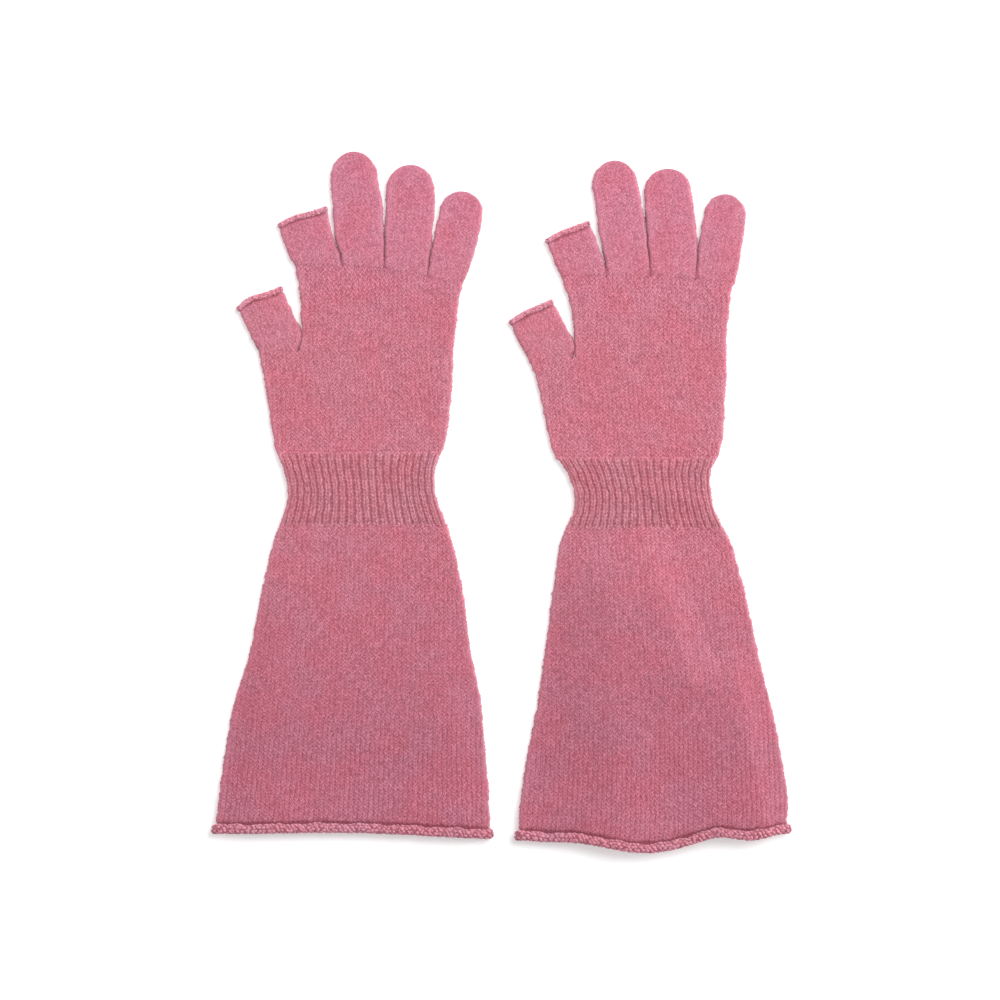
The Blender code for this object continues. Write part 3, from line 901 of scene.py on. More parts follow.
class Net:
    """Adds nodes to one shader or geometry tree."""

    def __init__(self, tree):
        self.tree = tree

    def make(self, kind, settings=None, values=None, output=0):
        """A node: its settings, then the values or links of its sockets. Gives one output, or none."""
        node = self.tree.nodes.new(kind)
        row, column = divmod(len(self.tree.nodes), NODES_A_ROW)
        node.location = (NODE_STEP_X * column, NODE_STEP_Y * row)
        for key, value in (settings or {}).items():
            setattr(node, key, value)
        for key, value in (values or {}).items():
            self.feed(self.socket(node.inputs, key), value)
        return None if output is None else Wire(self, self.socket(node.outputs, output))

    def socket(self, sockets, key):
        if isinstance(key, int):
            return sockets[key]
        for socket in sockets:
            if socket.identifier == key:
                return socket
        return sockets[key]

    def feed(self, socket, value):
        """Set a socket, or link it to one wire or, where it joins, to a list of them."""
        wires = value if isinstance(value, list) else [value]
        for wire in wires:
            if isinstance(wire, Wire):
                self.tree.links.new(wire.socket, socket)
            else:
                socket.default_value = wire

    def vector(self, x, y, z=0.0):
        return self.make("ShaderNodeCombineXYZ", None, {"X": x, "Y": y, "Z": z})

    def vector_math(self, operation, values):
        return self.make("ShaderNodeVectorMath", {"operation": operation}, values)

    def scaled(self, vector, scale):
        return self.vector_math("SCALE", {0: vector, "Scale": scale})

    def tinted(self, colour, tint):
        return self.vector_math("MULTIPLY", {0: colour, 1: tint})

    def mixed(self, part, first, second):
        values = {"Factor_Float": part, "A_Color": first, "B_Color": second}
        return self.make("ShaderNodeMix", {"data_type": "RGBA"}, values, "Result_Color")

    def noise(self, position, scale, detail=2.0, roughness=0.5):
        values = {"Vector": position, "Scale": scale, "Detail": detail, "Roughness": roughness}
        return self.make("ShaderNodeTexNoise", None, values)

    def chance(self, limits, values):
        """A random number between two limits for each point."""
        values = {2: limits[0], 3: limits[1], **values}
        return self.make("FunctionNodeRandomValue", {"data_type": "FLOAT"}, values, 1)

    def named(self, label, kind="FLOAT"):
        return self.make("GeometryNodeInputNamedAttribute", {"data_type": kind}, {"Name": label})

    def stored(self, geometry, label, value):
        settings = {"data_type": "FLOAT", "domain": "POINT"}
        values = {"Geometry": geometry, "Name": label, "Value": value}
        return self.make("GeometryNodeStoreNamedAttribute", settings, values)

    def shifted(self, geometry, offset):
        return self.make("GeometryNodeSetPosition", None, {"Geometry": geometry, "Offset": offset})


# The names of the trees
PLAIN = "Knit stitches"
RIBBED = "Ribbed stitches"
PURL = "Rolled purl bumps"


def open_tree(name, inputs):
    """A geometry tree with the named inputs, as a net and a wire for each input."""
    tree = bpy.data.node_groups.new(name, "GeometryNodeTree")
    tree.interface.new_socket("Geometry", in_out="OUTPUT", socket_type="NodeSocketGeometry")
    for label, kind in {"Geometry": "Geometry", **inputs}.items():
        tree.interface.new_socket(label, in_out="INPUT", socket_type="NodeSocket" + kind)
    net = Net(tree)
    source = net.make("NodeGroupInput")
    return net, {label: source.beside(label) for label in ("Geometry", *inputs)}


def close_tree(net, geometry, material):
    """Real geometry with its yarn, as the tree's output."""
    real = net.make("GeometryNodeRealizeInstances", None, {"Geometry": geometry})
    smooth = net.make("GeometryNodeSetShadeSmooth", None, {"Geometry": real})
    dyed = net.make("GeometryNodeSetMaterial", None, {"Geometry": smooth, "Material": material})
    net.make("NodeGroupOutput", None, {"Geometry": dyed}, None)
    return net.tree


# How a wale's two legs rise from its sides to its middle, as shares of the half wale:
# where they begin, are full and sink again, how deep the groove between them is, and
# what is left of them in the valley between two courses
Legs = namedtuple("Legs", "foot full crown groove valley")
PLAIN_LEGS = Legs(foot=0.0, full=0.5, crown=0.65, groove=0.22, valley=0.1)
RIB_LEGS = Legs(foot=0.14, full=0.5, crown=0.7, groove=0.66, valley=0.24)

# How deep the grooves between plain wales are, how much deeper they are near the
# hem, and over how many courses that fades
WALE_GROOVE = 0.54
HEM_GROOVE = 0.22
HEM_GROOVE_FADE = 14.0

# Where the flank of a rib rises, and the purl bumps in the valleys between ribs
RIB_FLANK = (0.04, 0.34)
PURL_WIDTH = 0.26
PURL_HEIGHT = 0.58

# How much the height of single legs varies, what every one of them has, and how far
# the mean of the upper face is sunk
LEG_CHANCE = (0.5, 1.25)
LEG_BASE = 0.1
MEAN_SINK = 0.5
IDS_A_COURSE = 211.0

# How far cloth sinks at a seam and under painted shade, and how far its points stray, in
# metres; the scales of the soft rise and fall and of the straying; and how much painted
# hollow shade smooth cloth gets
SEAM_SINK = 0.0007
STRAY = 0.0021
SOFT_SCALE = 26.0
STRAY_SCALE = 240.0
STRAY_APART = (0.3, 0.7, 0.1)
SMOOTH_HOLLOW = 0.64


def stitch_shape(edge, course, grooved, ribbed):
    """The relief of the stitches, from their place across a wale and along the courses."""
    legs = RIB_LEGS if ribbed else PLAIN_LEGS
    along = 0.5 - (course * (2.0 * math.pi) + math.pi / 2.0).sine() * 0.5
    pillow = edge.limited(legs.foot, legs.full) * (1.0 - edge.limited(legs.crown, 1.0) * legs.groove)
    if not ribbed:
        groove = (grooved - course).limited(0.0, HEM_GROOVE_FADE) * HEM_GROOVE + WALE_GROOVE
        pillow = pillow * groove + (1.0 - groove)
    relief = pillow * (legs.valley + along * (1.0 - legs.valley))
    if ribbed:
        relief = relief + (1.0 - edge.limited(0.0, PURL_WIDTH)) * (1.0 - along) * PURL_HEIGHT
    return relief


def stitch_tree(label):
    """Raises the legs of every stitch along the normals of a plain knitted wall."""
    ribbed = label == RIBBED
    net, given = open_tree(label, {
        "Leg Height": "Float",
        "Rib Height": "Float",
        "Unevenness": "Float",
        "Grooved Courses": "Float",
        "Seed": "Int",
        "Yarn": "Material",
    })
    wale = net.named("wale")
    course = net.named("course")
    gain = net.named("gain")
    free = net.named("free")
    edge = 1.0 - (wale.part() * 2.0 - 1.0).size()
    relief = stitch_shape(edge, course, given["Grooved Courses"], ribbed)
    number = (wale * 2.0).whole() + course.whole() * IDS_A_COURSE
    chance = net.chance(LEG_CHANCE, {"ID": number, "Seed": given["Seed"]})
    shape = relief * chance + LEG_BASE
    height = gain * given["Leg Height"] * (shape - (1.0 - free * MEAN_SINK))
    if ribbed:
        height = height + gain * given["Rib Height"] * free * edge.limited(*RIB_FLANK)
    height = height - net.named("seam") * free * SEAM_SINK
    raised = net.shifted(given["Geometry"], net.scaled(net.named("facing", "FLOAT_VECTOR"), height))
    position = net.make("GeometryNodeInputPosition")
    soft = net.noise(position, SOFT_SCALE, detail=1.5)
    lift = (soft - 0.5) * free * given["Unevenness"] * 2.0
    apart = net.vector_math("ADD", {0: position, 1: STRAY_APART})
    strays = [(net.noise(spot, STRAY_SCALE, detail=1.0) - 0.5) * gain * STRAY for spot in (position, apart)]
    waved = net.shifted(raised, net.vector(*strays, lift))
    # Painted shade between the stitches: darker where a stitch lies low, a mid shade on smooth cloth
    hollow = (1.0 - shape) * gain + (1.0 - gain) * SMOOTH_HOLLOW
    return close_tree(net, net.stored(waved, "hollow", hollow), given["Yarn"])


# The ball that makes a purl bump, how much bumps vary in size, and from which height
# to which its painted hollow shade fades
BALL = {"Segments": 8, "Rings": 5, "Radius": 0.5}
BUMP_CHANCE = (0.78, 1.2)
BUMP_SHADE = (-0.1, 0.4)


def bump_tree(label):
    """Sets a slanted purl bump on every seat of a rolled edge."""
    net, given = open_tree(label, {"Bump Size": "Vector", "Seed": "Int", "Yarn": "Material"})
    is_seat = net.named("seat")
    is_seat = is_seat.math("GREATER_THAN", is_seat, 0.5)
    parted = {"Geometry": given["Geometry"], "Selection": is_seat}
    seats = net.make("GeometryNodeSeparateGeometry", {"domain": "POINT"}, parted, "Selection")
    position = net.make("GeometryNodeInputPosition")
    x = net.make("ShaderNodeSeparateXYZ", None, {0: position}, "X")
    ball = net.make("GeometryNodeMeshUVSphere", None, BALL)
    # Painted shade on the lower side of each purl bump
    ball = net.stored(ball, "hollow", 1.0 - x.beside("Z").limited(*BUMP_SHADE))
    ball = net.stored(ball, "wale", x.beside("Y") * 0.5)
    ball = net.stored(ball, "course", x + 0.5)
    turn = net.make(
        "FunctionNodeAxesToRotation",
        {"primary_axis": "Z", "secondary_axis": "X"},
        {0: net.named("out", "FLOAT_VECTOR"), 1: net.named("lie", "FLOAT_VECTOR")},
    )
    size = net.scaled(given["Bump Size"], net.chance(BUMP_CHANCE, {"Seed": given["Seed"]}))
    placed = net.make(
        "GeometryNodeInstanceOnPoints", None,
        {"Points": seats, "Instance": ball, "Rotation": turn, "Scale": size},
    )
    # The roll's core between the bumps is painted in full shade
    core = net.stored(seats.beside("Inverted"), "hollow", 1.0)
    joined = net.make("GeometryNodeJoinGeometry", None, {"Geometry": [core, placed]})
    return close_tree(net, joined, given["Yarn"])


def settle(piece, tree, values):
    """Run a tree on a piece and keep the plain mesh that comes out."""
    modifier = piece.modifiers.new(tree.name, "NODES")
    modifier.node_group = tree
    for item in tree.interface.items_tree:
        if item.in_out == "INPUT" and item.name in values:
            modifier[item.identifier] = values[item.name]
    graph = bpy.context.evaluated_depsgraph_get()
    result = bpy.data.meshes.new_from_object(
        piece.evaluated_get(graph), preserve_all_data_layers=True, depsgraph=graph
    )
    before = piece.data
    piece.modifiers.remove(modifier)
    piece.data = result
    bpy.data.meshes.remove(before)
    result.name = piece.name


# Tints of the yarn: its warm and cool patches, its dark and pale fibres, the painted
# shade between stitches, and the loose nap; the pale tint also paints the sheen of folded edges
WARM = (1.02, 0.93, 0.95)
COOL = (0.98, 1.06, 1.06)
DARK = (0.77, 0.65, 0.67)
PALE = (1.19, 1.38, 1.32)
SHADOW = (0.44, 0.22, 0.26)
NAP = (0.98, 0.7, 0.76, 1.0)

# Scales of the fibres, the patches and the flecks of nap
FIBRE_SCALE = 950.0
PATCH_SCALE = 45.0
FLECK_SCALE = 2000.0

# Between which places along the gloves, in metres, the cuff's colour turns into the
# hand's, and the hand's into the fingers'; the colours lighten towards the fingers,
# partly as the yarn's own colour and partly as painted light falling from that side
CUFF_TO_HAND = (-0.16, 0.05)
HAND_TO_FINGERS = (0.08, 0.2)

# Between which values of their noise patches turn, a seam breaks and flecks show
PATCH_TURN = (0.35, 0.65)
SEAM_BREAK = (0.44, 0.56)
FLECK_SHOW = (0.58, 0.78)

# How strongly single stitches, seams with the painted shade of ends and touching fingers,
# the painted sheen of folded edges and flecks show, and from which depth on the painted
# shade of a hollow does
STITCH_PART = 0.25
SEAM_PART = 0.9
RIM_PART = 0.32
FLECK_PART = 0.3
HOLLOW_FROM = 0.25

# The twist of the plies: its turns in a course and its lean across a leg, and how
# far flecks, fibres and plies stand out
PLY_TURNS = 3.0
PLY_LEAN = 1.5
FLECK_BUMP = 0.6
FIBRE_BUMP = 0.5
PLY_BUMP = 0.12
BUMP_STRENGTH = 0.45
BUMP_DISTANCE = 0.0005

# What a yarn is made of: the colours of cuff, hand and fingers, which run into each
# other, how dark the painted shade in its hollows and how mottled its fibres are, how
# far a seam is broken up, and its sheen
Wool = namedtuple("Wool", "colours depth mottle broken sheen")


def yarn_material(name, wool):
    """Heathered wool: painted darker between the stitches, streaked along the plies, with a soft nap and a
    painted sheen at folded edges.
    """
    material = bpy.data.materials.new(name)
    material.use_nodes = True
    material.node_tree.nodes.clear()
    net = Net(material.node_tree)
    place = net.make("ShaderNodeTexCoord", None, None, "Object")
    wale, course, hollow, seam, rim = (
        net.make("ShaderNodeAttribute", {"attribute_name": label}, None, "Fac")
        for label in ("wale", "course", "hollow", "seam", "rim")
    )
    heather = net.noise(place, FIBRE_SCALE, detail=2.0, roughness=0.6)
    patches = net.noise(place, PATCH_SCALE, detail=2.0)
    fleck = net.noise(place, FLECK_SCALE, detail=1.0, roughness=0.7)
    cell = net.vector(wale.whole(), course.whole())
    chance = net.make("ShaderNodeTexWhiteNoise", {"noise_dimensions": "2D"}, {"Vector": cell})
    side = (wale.part() - 0.5).sign()
    ply = ((course * PLY_TURNS + (wale * 2.0).part() * side * PLY_LEAN) * (2.0 * math.pi)).sine()
    cuff, hand, fingers = ((*colour, 1.0) for colour in wool.colours)
    towards = net.make("ShaderNodeSeparateXYZ", None, {0: place}, "Y")
    even = net.mixed(towards.limited(*CUFF_TO_HAND), cuff, hand)
    even = net.mixed(towards.limited(*HAND_TO_FINGERS), even, fingers)
    even = net.mixed(patches.limited(*PATCH_TURN), net.tinted(even, WARM), net.tinted(even, COOL))
    dark, pale, shadow = (net.tinted(even, tint) for tint in (DARK, PALE, SHADOW))
    tone = (heather - 0.5) * wool.mottle + (chance - 0.5) * STITCH_PART
    base = net.mixed((tone + 0.5).limited(0.0, 1.0), dark, pale)
    # Painted shade in the hollows between the stitches
    base = net.mixed(hollow.limited(HOLLOW_FROM, 1.0) * wool.depth, base, shadow)
    # Painted shade under rolled edges and between fingers, and darker seam rows at the knuckles
    seam_and_shade_strength = seam * (1.0 - (1.0 - patches.limited(*SEAM_BREAK)) * wool.broken)
    base = net.mixed(seam_and_shade_strength * SEAM_PART, base, shadow)
    # Painted sheen: the folded edges are painted paler
    base = net.mixed(rim * RIM_PART, base, pale)
    base = net.mixed(fleck.limited(*FLECK_SHOW) * FLECK_PART, base, NAP)
    height = fleck * FLECK_BUMP + heather * FIBRE_BUMP + ply * PLY_BUMP
    bump = {"Strength": BUMP_STRENGTH, "Distance": BUMP_DISTANCE, "Height": height}
    shader = net.make("ShaderNodeBsdfPrincipled", None, {
        "Base Color": base,
        "Roughness": heather * 0.12 + 0.84,
        "Normal": net.make("ShaderNodeBump", None, bump),
        "IOR": 1.45,
        "Specular IOR Level": 0.25,
        "Sheen Weight": wool.sheen,
        "Sheen Roughness": 0.55,
        "Sheen Tint": (1.0, 0.86, 0.9, 1.0),
    })
    net.make("ShaderNodeOutputMaterial", None, {"Surface": shader}, None)
    return material


def linear(colour):
    """An sRGB colour property as linear values."""
    return tuple(c / 12.92 if c <= 0.04045 else ((c + 0.055) / 1.055) ** 2.4 for c in colour)


def colour_property(name, description, rgb):
    return FloatVectorProperty(
        name=name,
        description=description,
        subtype="COLOR_GAMMA",
        size=3,
        min=0.0,
        max=1.0,
        default=tuple(c / 255.0 for c in rgb),
    )


def length_property(name, description, default):
    return FloatProperty(
        name=name, description=description, default=default, min=0.0, subtype="DISTANCE", unit="LENGTH"
    )


def power_property(name, description, default):
    return FloatProperty(name=name, description=description, default=default, min=0.0, unit="POWER")


def number_property(name, description, default, **limits):
    return FloatProperty(name=name, description=description, default=default, min=0.0, **limits)


class GloveKnitSizes(bpy.types.PropertyGroup):
    """Colours of the yarn, as they show on each part, lighter towards the fingers partly by painted light.
    """

    course: length_property("Course", "Height of one course of stitches", 0.0022)
    leg_height: length_property("Leg height", "How far the legs of a stitch stand out", 0.0008)
    rib_height: length_property("Rib height", "How far the wrist's ribs stand out", 0.00035)
    slant: number_property("Slant", "Slant of a stitch's legs as a share of a course", 0.9, max=2.0)
    unevenness: length_property("Unevenness", "How far the cloth rises and falls in soft waves", 0.0004)
    seed: IntProperty(name="Seed", description="Seed of the uneven stitches", default=7, min=0)
    bead: length_property("Purl bump", "Length of one purl bump of the hem's roll", 0.0027)


class GloveYarnColours(bpy.types.PropertyGroup):
    """Colours of the yarn, as they show on each part."""

    fingers: colour_property("Fingers", "Yarn of the fingers and thumbs", (208, 120, 143))
    hand: colour_property("Hand", "Yarn of the palm and knuckles", (206, 120, 138))
    rib: colour_property("Rib", "Yarn of the ribbed wrist", (200, 121, 136))
    cuff: colour_property("Cuff", "Yarn of the gauntlet cuff", (191, 108, 128))
    edge: colour_property("Hem edge", "Yarn of the cuffs' rolled edges", (196, 118, 136))
    tip: colour_property("Finger edge", "Yarn of the fingers' rolled edges", (214, 134, 152))
    sheen: number_property("Sheen", "Strength of the soft nap", 0.5, max=1.0, subtype="FACTOR")


class GloveStageSettings(bpy.types.PropertyGroup):
    """The floor, camera and lights."""

    view_width: length_property("View width", "Width that the camera sees on the floor", 0.6)
    height: length_property("Camera height", "Height of the camera over the floor", 1.9)
    key: power_property("Key light", "Power of the soft light from the upper right", 116.0)
    side: power_property("Side light", "Power of the low light from the right", 86.0)
    sky: number_property("Surroundings", "Strength of the white surroundings", 0.44)
    glow: number_property("Floor glow", "Light that the floor gives by itself", 0.35)
    floor: colour_property("Floor", "Colour of the plain floor", (228, 228, 228))


# The height of a course in mm, and the slant of its stitches
Knit = namedtuple("Knit", "course slant")


def knit_of(context):
    sizes = context.scene.glove_knit
    return Knit(sizes.course / MM, sizes.slant)


def yarn(context, label, dye=None, depth=0.75, mottle=3.7, broken=0.0, shade=1.0):
    """One yarn material, made when it is first needed."""
    found = bpy.data.materials.get(label)
    if found:
        return found
    dyes = context.scene.glove_yarn
    names = (dye,) * 3 if dye else ("cuff", "hand", "fingers")
    colours = [[shade * part for part in linear(getattr(dyes, name))] for name in names]
    return yarn_material(label, Wool(colours, depth, mottle, broken, dyes.sheen))


def tree_of(label):
    """One tree, made when it is first needed."""
    make = bump_tree if label == PURL else stitch_tree
    return bpy.data.node_groups.get(label) or make(label)


def stitch_values(context, material, grooved=0.0, relief=1.0):
    sizes = context.scene.glove_knit
    return {
        "Leg Height": sizes.leg_height * relief,
        "Rib Height": sizes.rib_height,
        "Unevenness": sizes.unevenness,
        "Grooved Courses": grooved,
        "Seed": sizes.seed,
        "Yarn": material,
    }


# The height in metres under which cloth is pressed flat on the floor, and how many
# faces a dressed piece may have
FLOOR_SOFT = 0.0004
FEWEST_FACES = 1000
MOST_FACES = 110000


def pair_shift():
    """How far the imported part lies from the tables' origin, from the left palm's left edge."""
    top = LEFT.palm[0]
    low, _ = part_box("left_palm")
    _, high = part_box("left_wrist_rib")
    shift_x = low[0] - (top.x - top.width / 2.0) * MM
    shift_y = high[1] - LEFT.wrist[0].y * MM
    return Vector((shift_x, shift_y, 0.0))


SHIFT = pair_shift()


def settled_on_floor(piece):
    """Press what reaches under the floor flat on it, without folding it over."""
    points = np.zeros(len(piece.data.vertices) * 3)
    piece.data.vertices.foreach_get("co", points)
    height = points[2::3]
    low = height < FLOOR_SOFT
    height[low] = FLOOR_SOFT * np.exp(height[low] / FLOOR_SOFT - 1.0)
    piece.data.vertices.foreach_set("co", points)
    piece.data.update()


def knitted(piece, label, values):
    """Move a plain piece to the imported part's place and give it its stitches or bumps."""
    piece.data.transform(Matrix.Translation(SHIFT))
    settle(piece, tree_of(label), values)
    settled_on_floor(piece)
    faces = len(piece.data.polygons)
    if not FEWEST_FACES <= faces <= MOST_FACES:
        raise RuntimeError(f"{piece.name} came out with {faces} faces")


def finish_tube(piece, label, values, node, lay):
    knitted(piece, label, values)
    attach(piece, "root")
    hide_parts(node)
    flat, area = cut_of(lay)


def make_roll(context, node, edge, bumps):
    """A rolled edge of purl bumps in place of its node."""
    name = node + "_roll"
    piece = rolled_edge(name + "_knit", edge, bumps)
    material = yarn(context, bumps.dye.capitalize() + " wool", bumps.dye, bumps.depth)
    seed = context.scene.glove_knit.seed
    knitted(piece, PURL, {"Bump Size": Vector(bumps.size), "Seed": seed, "Yarn": material})
    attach(piece, "root")
    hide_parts(name)
    return piece


def rolled_lay(rows, edge):
    """A tube that ends under its rolled edge."""
    roll = edge.roll
    cut = moved(rows[-1], -roll.outward * roll.depth * ROLL_BACK)
    lay = Lay(list(rows[:-1]) + [cut], bends=edge.bends, folds=edge.folds)
    full = 2.0 * roll.rise - KNIT_WALL

    def away(t):
        return lay.straight - t if roll.outward > 0.0 else t

    lay.lift = lambda t: full * smooth_step(1.0 - away(t) / roll.slope)
    lay.bend_part = lambda t: smooth_step(1.0 - away(t) / (2.0 * roll.slope))
    return lay


# The lays of the palm and the knuckles, and the stitches that each is made of
Hand = namedtuple("Hand", "palm palm_plan knuckles knuckle_plan")


def hand_of(glove):
    palm = Lay(glove.palm)
    top_pitch = float(palm.upper(palm.straight)) / PALM_WALES
    palm_plan = Stitches(PALM_WALES, (top_pitch, top_pitch), head_runs_on=True)
    knuckles = Lay(glove.knuckles, bends=glove.seam_bends)
    knuckles.bend_part = lambda t: smooth_step(1.0 - (knuckles.straight - t) / glove.seam_fade)
    seam_pitch = float(knuckles.upper(knuckles.straight)) / KNUCKLE_WALES
    middle = KNUCKLE_WALES / 2.0 + KNUCKLES_FROM - PALM_WALES / 2.0
    drift = glove.palm[0].x + middle * top_pitch - glove.knuckles[-1].x
    knuckle_plan = Stitches(
        KNUCKLE_WALES, (top_pitch, seam_pitch), drift=drift, foot_runs_on=True, head_runs_on=True
    )
    return Hand(palm, palm_plan, knuckles, knuckle_plan)


def standing_on(lay, plan, first):
    """Gives a tube's top edge to one that stands on it with its wale 0 at the wale first."""
    def spots(wale, shift):
        spot = lay.straight + shift
        arc, _ = arcs(lay, plan, wale + first, spot)
        return lay.place(arc, spot)[0]
    return spots


def base_row(edge, bends, start, end):
    """The first row of a tube on a share of another tube's top edge."""
    half = edge.width / 2.0
    angle = math.radians(edge.tilt)
    across = np.array([math.cos(angle), math.sin(angle)])
    ahead = np.array([-math.sin(angle), math.cos(angle)])

    def spot(share):
        back = float(bend_at(bends, np.array([share]))[0])
        return np.array([edge.x, edge.y]) + across * (2.0 * share - 1.0) * half - ahead * back

    left, right, middle = spot(start), spot(end), spot((start + end) / 2.0)
    bulge = max(0.0, float(np.dot(middle - (left + right) / 2.0, ahead)))
    base = (left + right) / 2.0 + ahead * bulge
    chord = right - left
    return Row(base[0], base[1], float(np.hypot(*chord)), math.degrees(math.atan2(chord[1], chord[0])))


def thumb_start(glove, hand):
    """The thumb's first row, its stitches, and the palm's edge that they run on from."""
    row = base_row(glove.palm[0], (), glove.thumb.start, glove.thumb.end)
    pitch = hand.palm_plan.pitch[1]
    drift = (glove.thumb_wales - glove.thumb_edge) * pitch
    plan = Stitches(THUMB_WALES, (pitch, pitch), anchor=1.0, drift=drift, foot_runs_on=True)
    return row, plan, standing_on(hand.palm, hand.palm_plan, glove.thumb_wales - THUMB_WALES)


def finger_start(glove, finger, hand):
    """A finger's first row, its stitches, and the knuckles' edge that they run on from."""
    row = base_row(glove.knuckles[0], glove.seam_bends, finger.start, finger.end)
    pitch = hand.knuckle_plan.pitch[1]
    middle = KNUCKLE_WALES * (finger.start + finger.end) / 2.0
    first = round(middle - FINGER_WALES / 2.0)
    drift = (first + FINGER_WALES / 2.0 - middle) * pitch
    plan = Stitches(FINGER_WALES, (pitch, pitch), drift=drift, foot_runs_on=True)
    return row, plan, standing_on(hand.knuckles, hand.knuckle_plan, first)


def rib_swell(lay):
    """How the rib swells from the plain cloth's height at its ends to its own."""
    low = (EDGE_RADIUS + RIB_LIP) / lay.radius

    def swell(t):
        middle = smooth_step(t / RIB_SWELL) * smooth_step((lay.straight - t) / RIB_SWELL)
        return low + (1.0 - low) * middle

    return swell


class GLOVES_OT_fingers(bpy.types.Operator):
    """Knit the fingers and thumbs of both gloves"""

    bl_idname = "gloves.fingers"
    bl_label = "Knit the fingers"

    def execute(self, context):
        material = yarn(context, "Finger wool", depth=0.52, mottle=2.6, shade=0.925)
        values = stitch_values(context, material, relief=FINGER_RELIEF)
        for glove in (LEFT, RIGHT):
            hand = hand_of(glove)
            starts = [(finger, *finger_start(glove, finger, hand)) for finger in glove.fingers]
            starts.append((glove.thumb, *thumb_start(glove, hand)))
            for finger, row, plan, foot in starts:
                node = f"{glove.name}_{finger.name}"
                rows = (row,) + finger.rows
                if finger.tip:
                    lay = Lay(rows, tip=finger.tip)
                else:
                    edge = Edge(finger.rows[-1], FINGER_ROLL, finger.mouth, ())
                    lay = rolled_lay(rows, edge)
                    make_roll(context, node, edge, FINGER_BUMPS)
                lay.touches = finger.touches
                seams_and_shades = (NO_SEAM, NO_SEAM if finger.tip else FINGER_PAINTED_SHADE)
                piece = knit_tube(node + "_knit", lay, plan, knit_of(context), foot, seams_and_shades)
                finish_tube(piece, PLAIN, values, node, lay)
        return {"FINISHED"}


class GLOVES_OT_hand(bpy.types.Operator):
    """Knit the palm and the knuckles of both gloves"""

    bl_idname = "gloves.hand"
    bl_label = "Knit the hands"

    def execute(self, context):
        values = stitch_values(context, yarn(context, "Hand wool", broken=1.0))
        knit = knit_of(context)
        for glove in (LEFT, RIGHT):
            palm, palm_plan, knuckles, knuckle_plan = hand_of(glove)
            node = glove.name + "_palm"
            piece = knit_tube(node + "_knit", palm, palm_plan, knit)
            finish_tube(piece, PLAIN, values, node, palm)
            node = glove.name + "_knuckles"
            foot = standing_on(palm, palm_plan, KNUCKLES_FROM)
            piece = knit_tube(node + "_knit", knuckles, knuckle_plan, knit, foot, (NO_SEAM, KNUCKLE_SEAM))
            finish_tube(piece, PLAIN, values, node, knuckles)
        return {"FINISHED"}


class GLOVES_OT_wrist(bpy.types.Operator):
    """Knit the ribbed wrists of both gloves"""

    bl_idname = "gloves.wrist"
    bl_label = "Knit the ribbed wrists"

    def execute(self, context):
        values = stitch_values(context, yarn(context, "Rib wool", "rib", depth=0.85))
        plan = Stitches(RIB_WALES, crowd=RIB_CROWD, shares=RIB_SHARES, foot_runs_on=True, head_runs_on=True)
        for glove in (LEFT, RIGHT):
            rows = list(glove.wrist)
            rows[0] = moved(rows[0], RIB_OVERLAP)
            rows[-1] = moved(rows[-1], -RIB_OVERLAP)
            lay = Lay(rows, wall=RIB_WALL, folds=glove.wrist_folds)
            lay.swell = rib_swell(lay)
            node = glove.name + "_wrist_rib"
            piece = knit_tube(node + "_knit", lay, plan, knit_of(context))
            finish_tube(piece, RIBBED, values, node, lay)
        return {"FINISHED"}


class GLOVES_OT_cuff(bpy.types.Operator):
    """Knit the flared cuffs and roll their hems"""

    bl_idname = "gloves.cuff"
    bl_label = "Knit the cuffs"

    def execute(self, context):
        values = stitch_values(context, yarn(context, "Cuff wool"), CUFF_GROOVED)
        length = context.scene.glove_knit.bead
        bumps = HEM_BUMPS._replace(size=tuple(length * share for share in HEM_BUMPS.size))
        for glove in (LEFT, RIGHT):
            node = glove.name + "_cuff"
            edge = Edge(glove.cuff[-1], HEM_ROLL, glove.hem_bends, glove.folds)
            hem = make_roll(context, node, edge, bumps)
            lay = rolled_lay(glove.cuff, edge)
            hem_pitch = float(lay.upper(0.0)) / CUFF_WALES
            plan = Stitches(CUFF_WALES, (hem_pitch, CUFF_TOP_PITCH))
            piece = knit_tube(node + "_knit", lay, plan, knit_of(context), None, (HEM_PAINTED_SHADE, NO_SEAM))
            finish_tube(piece, PLAIN, values, node, lay)
        return {"FINISHED"}


# The floor's half width and its height, the middle of the view, the camera's sensor
# in mm, and the height over the floor at which the view has its width
FLOOR_HALF = 6.0
FLOOR_HEIGHT = -0.0002
VIEW_MIDDLE = (-0.0008, 0.0009)
SENSOR_WIDTH = 36.0
CLOTH_HEIGHT = 0.004

# The lamps, which all look at the middle: the setting that holds their power, their
# share of it, their size and their place
Lamp = namedtuple("Lamp", "name setting share size place")
LAMPS = (
    Lamp("key", "key", 1.0, 2.6, (1.5, 1.7, 3.0)),
    Lamp("side", "side", 1.0, 1.6, (3.6, 0.7, 1.1)),
    Lamp("fill", "side", 0.48, 1.6, (-3.6, 0.7, 1.1)),
)
WHITE = (1.0, 1.0, 1.0, 1.0)


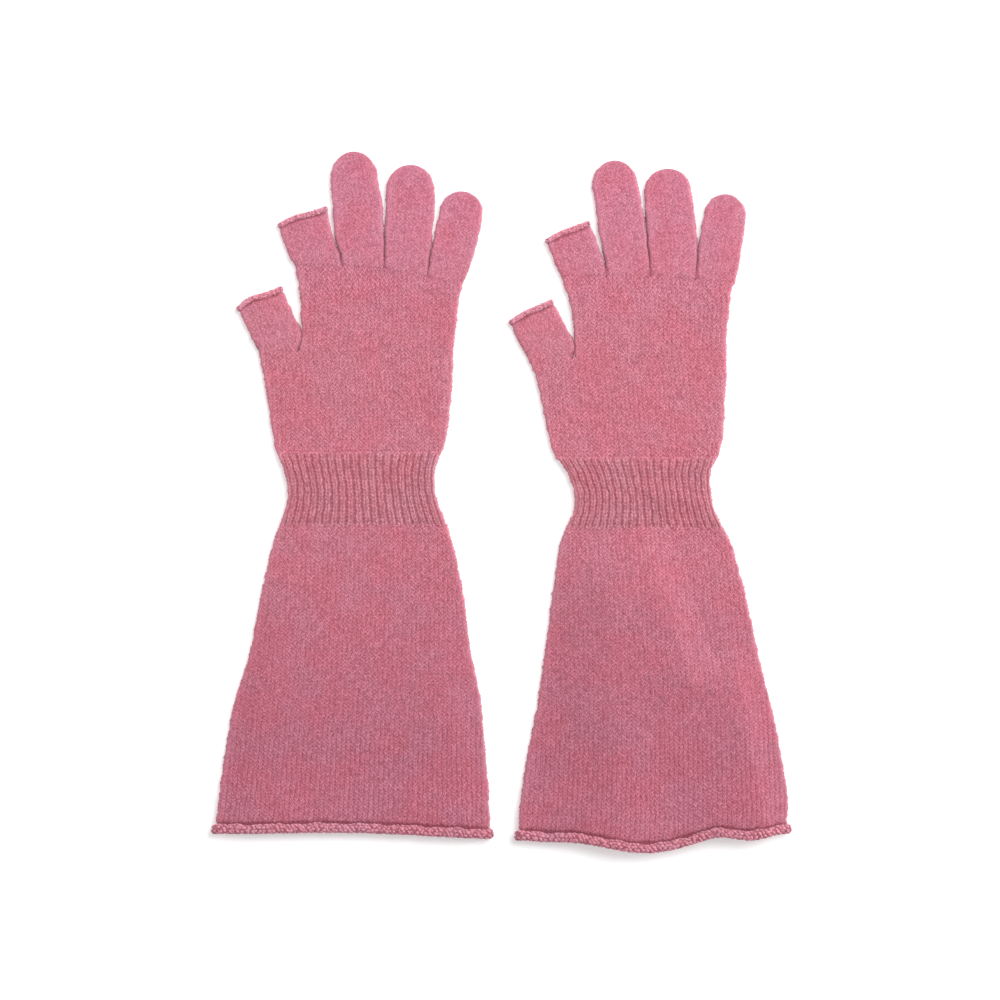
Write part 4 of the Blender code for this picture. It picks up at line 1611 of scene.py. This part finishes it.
def lay_floor(settings):
    """A plain pale floor for the stage."""
    mesh = bmesh.new()
    bmesh.ops.create_grid(mesh, x_segments=1, y_segments=1, size=FLOOR_HALF)
    data = bpy.data.meshes.new("floor")
    mesh.to_mesh(data)
    mesh.free()
    floor = bpy.data.objects.new("floor", data)
    floor.location = (0.0, 0.0, FLOOR_HEIGHT)
    bpy.context.scene.collection.objects.link(floor)
    material = bpy.data.materials.new("Pale floor")
    material.use_nodes = True
    shader = material.node_tree.nodes["Principled BSDF"]
    for key, value in {
        "Base Color": (*linear(settings.floor), 1.0),
        "Roughness": 0.95,
        "Specular IOR Level": 0.0,
        "Emission Color": WHITE,
        "Emission Strength": settings.glow,
    }.items():
        shader.inputs[key].default_value = value
    data.materials.append(material)


def place_camera(settings):
    """A camera that looks straight down on the middle of the pair."""
    camera = bpy.data.cameras.new("camera")
    camera.sensor_width = SENSOR_WIDTH
    camera.lens = SENSOR_WIDTH * (settings.height - CLOTH_HEIGHT) / settings.view_width
    view = bpy.data.objects.new("camera", camera)
    view.location = (*VIEW_MIDDLE, settings.height)
    bpy.context.scene.collection.objects.link(view)
    bpy.context.scene.camera = view


def place_lamp(lamp, settings):
    """One round area light that looks at the middle of the floor."""
    light = bpy.data.lights.new(lamp.name, "AREA")
    light.energy = getattr(settings, lamp.setting) * lamp.share
    light.shape = "DISK"
    light.size = lamp.size
    placed = bpy.data.objects.new(lamp.name, light)
    placed.location = lamp.place
    placed.rotation_euler = (-Vector(lamp.place)).to_track_quat("-Z", "Y").to_euler()
    bpy.context.scene.collection.objects.link(placed)


class GLOVES_OT_stage(bpy.types.Operator):
    """Lay the floor and set the camera and the lights"""

    bl_idname = "gloves.stage"
    bl_label = "Set the stage"

    def execute(self, context):
        settings = context.scene.glove_stage
        lay_floor(settings)
        place_camera(settings)
        for lamp in LAMPS:
            place_lamp(lamp, settings)
        world = bpy.data.worlds.new("white surroundings")
        world.use_nodes = True
        background = world.node_tree.nodes["Background"]
        background.inputs["Color"].default_value = WHITE
        background.inputs["Strength"].default_value = settings.sky
        context.scene.world = world
        context.scene.view_settings.view_transform = "Standard"
        return {"FINISHED"}


class GLOVES_PT_panel(bpy.types.Panel):
    """Shows the settings of the stitches, yarn and stage, and the buttons that knit the gloves"""

    bl_idname = "GLOVES_PT_panel"
    bl_label = "Knitted gloves"
    bl_space_type = "VIEW_3D"
    bl_region_type = "UI"
    bl_category = "Gloves"

    def draw(self, context):
        layout = self.layout
        for group in (context.scene.glove_knit, context.scene.glove_yarn, context.scene.glove_stage):
            box = layout.box()
            for key in group.__annotations__:
                box.prop(group, key)
        for operator in OPERATORS:
            layout.operator(operator.bl_idname)


OPERATORS = (
    GLOVES_OT_stage,
    GLOVES_OT_fingers,
    GLOVES_OT_hand,
    GLOVES_OT_wrist,
    GLOVES_OT_cuff,
)
GROUPS = {
    "glove_knit": GloveKnitSizes,
    "glove_yarn": GloveYarnColours,
    "glove_stage": GloveStageSettings,
}


def register():
    for group in GROUPS.values():
        bpy.utils.register_class(group)
    for key, group in GROUPS.items():
        setattr(bpy.types.Scene, key, PointerProperty(type=group))
    for operator in OPERATORS:
        bpy.utils.register_class(operator)
    bpy.utils.register_class(GLOVES_PT_panel)


def unregister():
    bpy.utils.unregister_class(GLOVES_PT_panel)
    for operator in reversed(OPERATORS):
        bpy.utils.unregister_class(operator)
    for key in GROUPS:
        delattr(bpy.types.Scene, key)
    for group in reversed(GROUPS.values()):
        bpy.utils.unregister_class(group)


def main():
    register()
    bpy.ops.gloves.stage()
    bpy.ops.gloves.fingers()
    bpy.ops.gloves.hand()
    bpy.ops.gloves.wrist()
    bpy.ops.gloves.cuff()


if __name__ == "__main__":
    main()
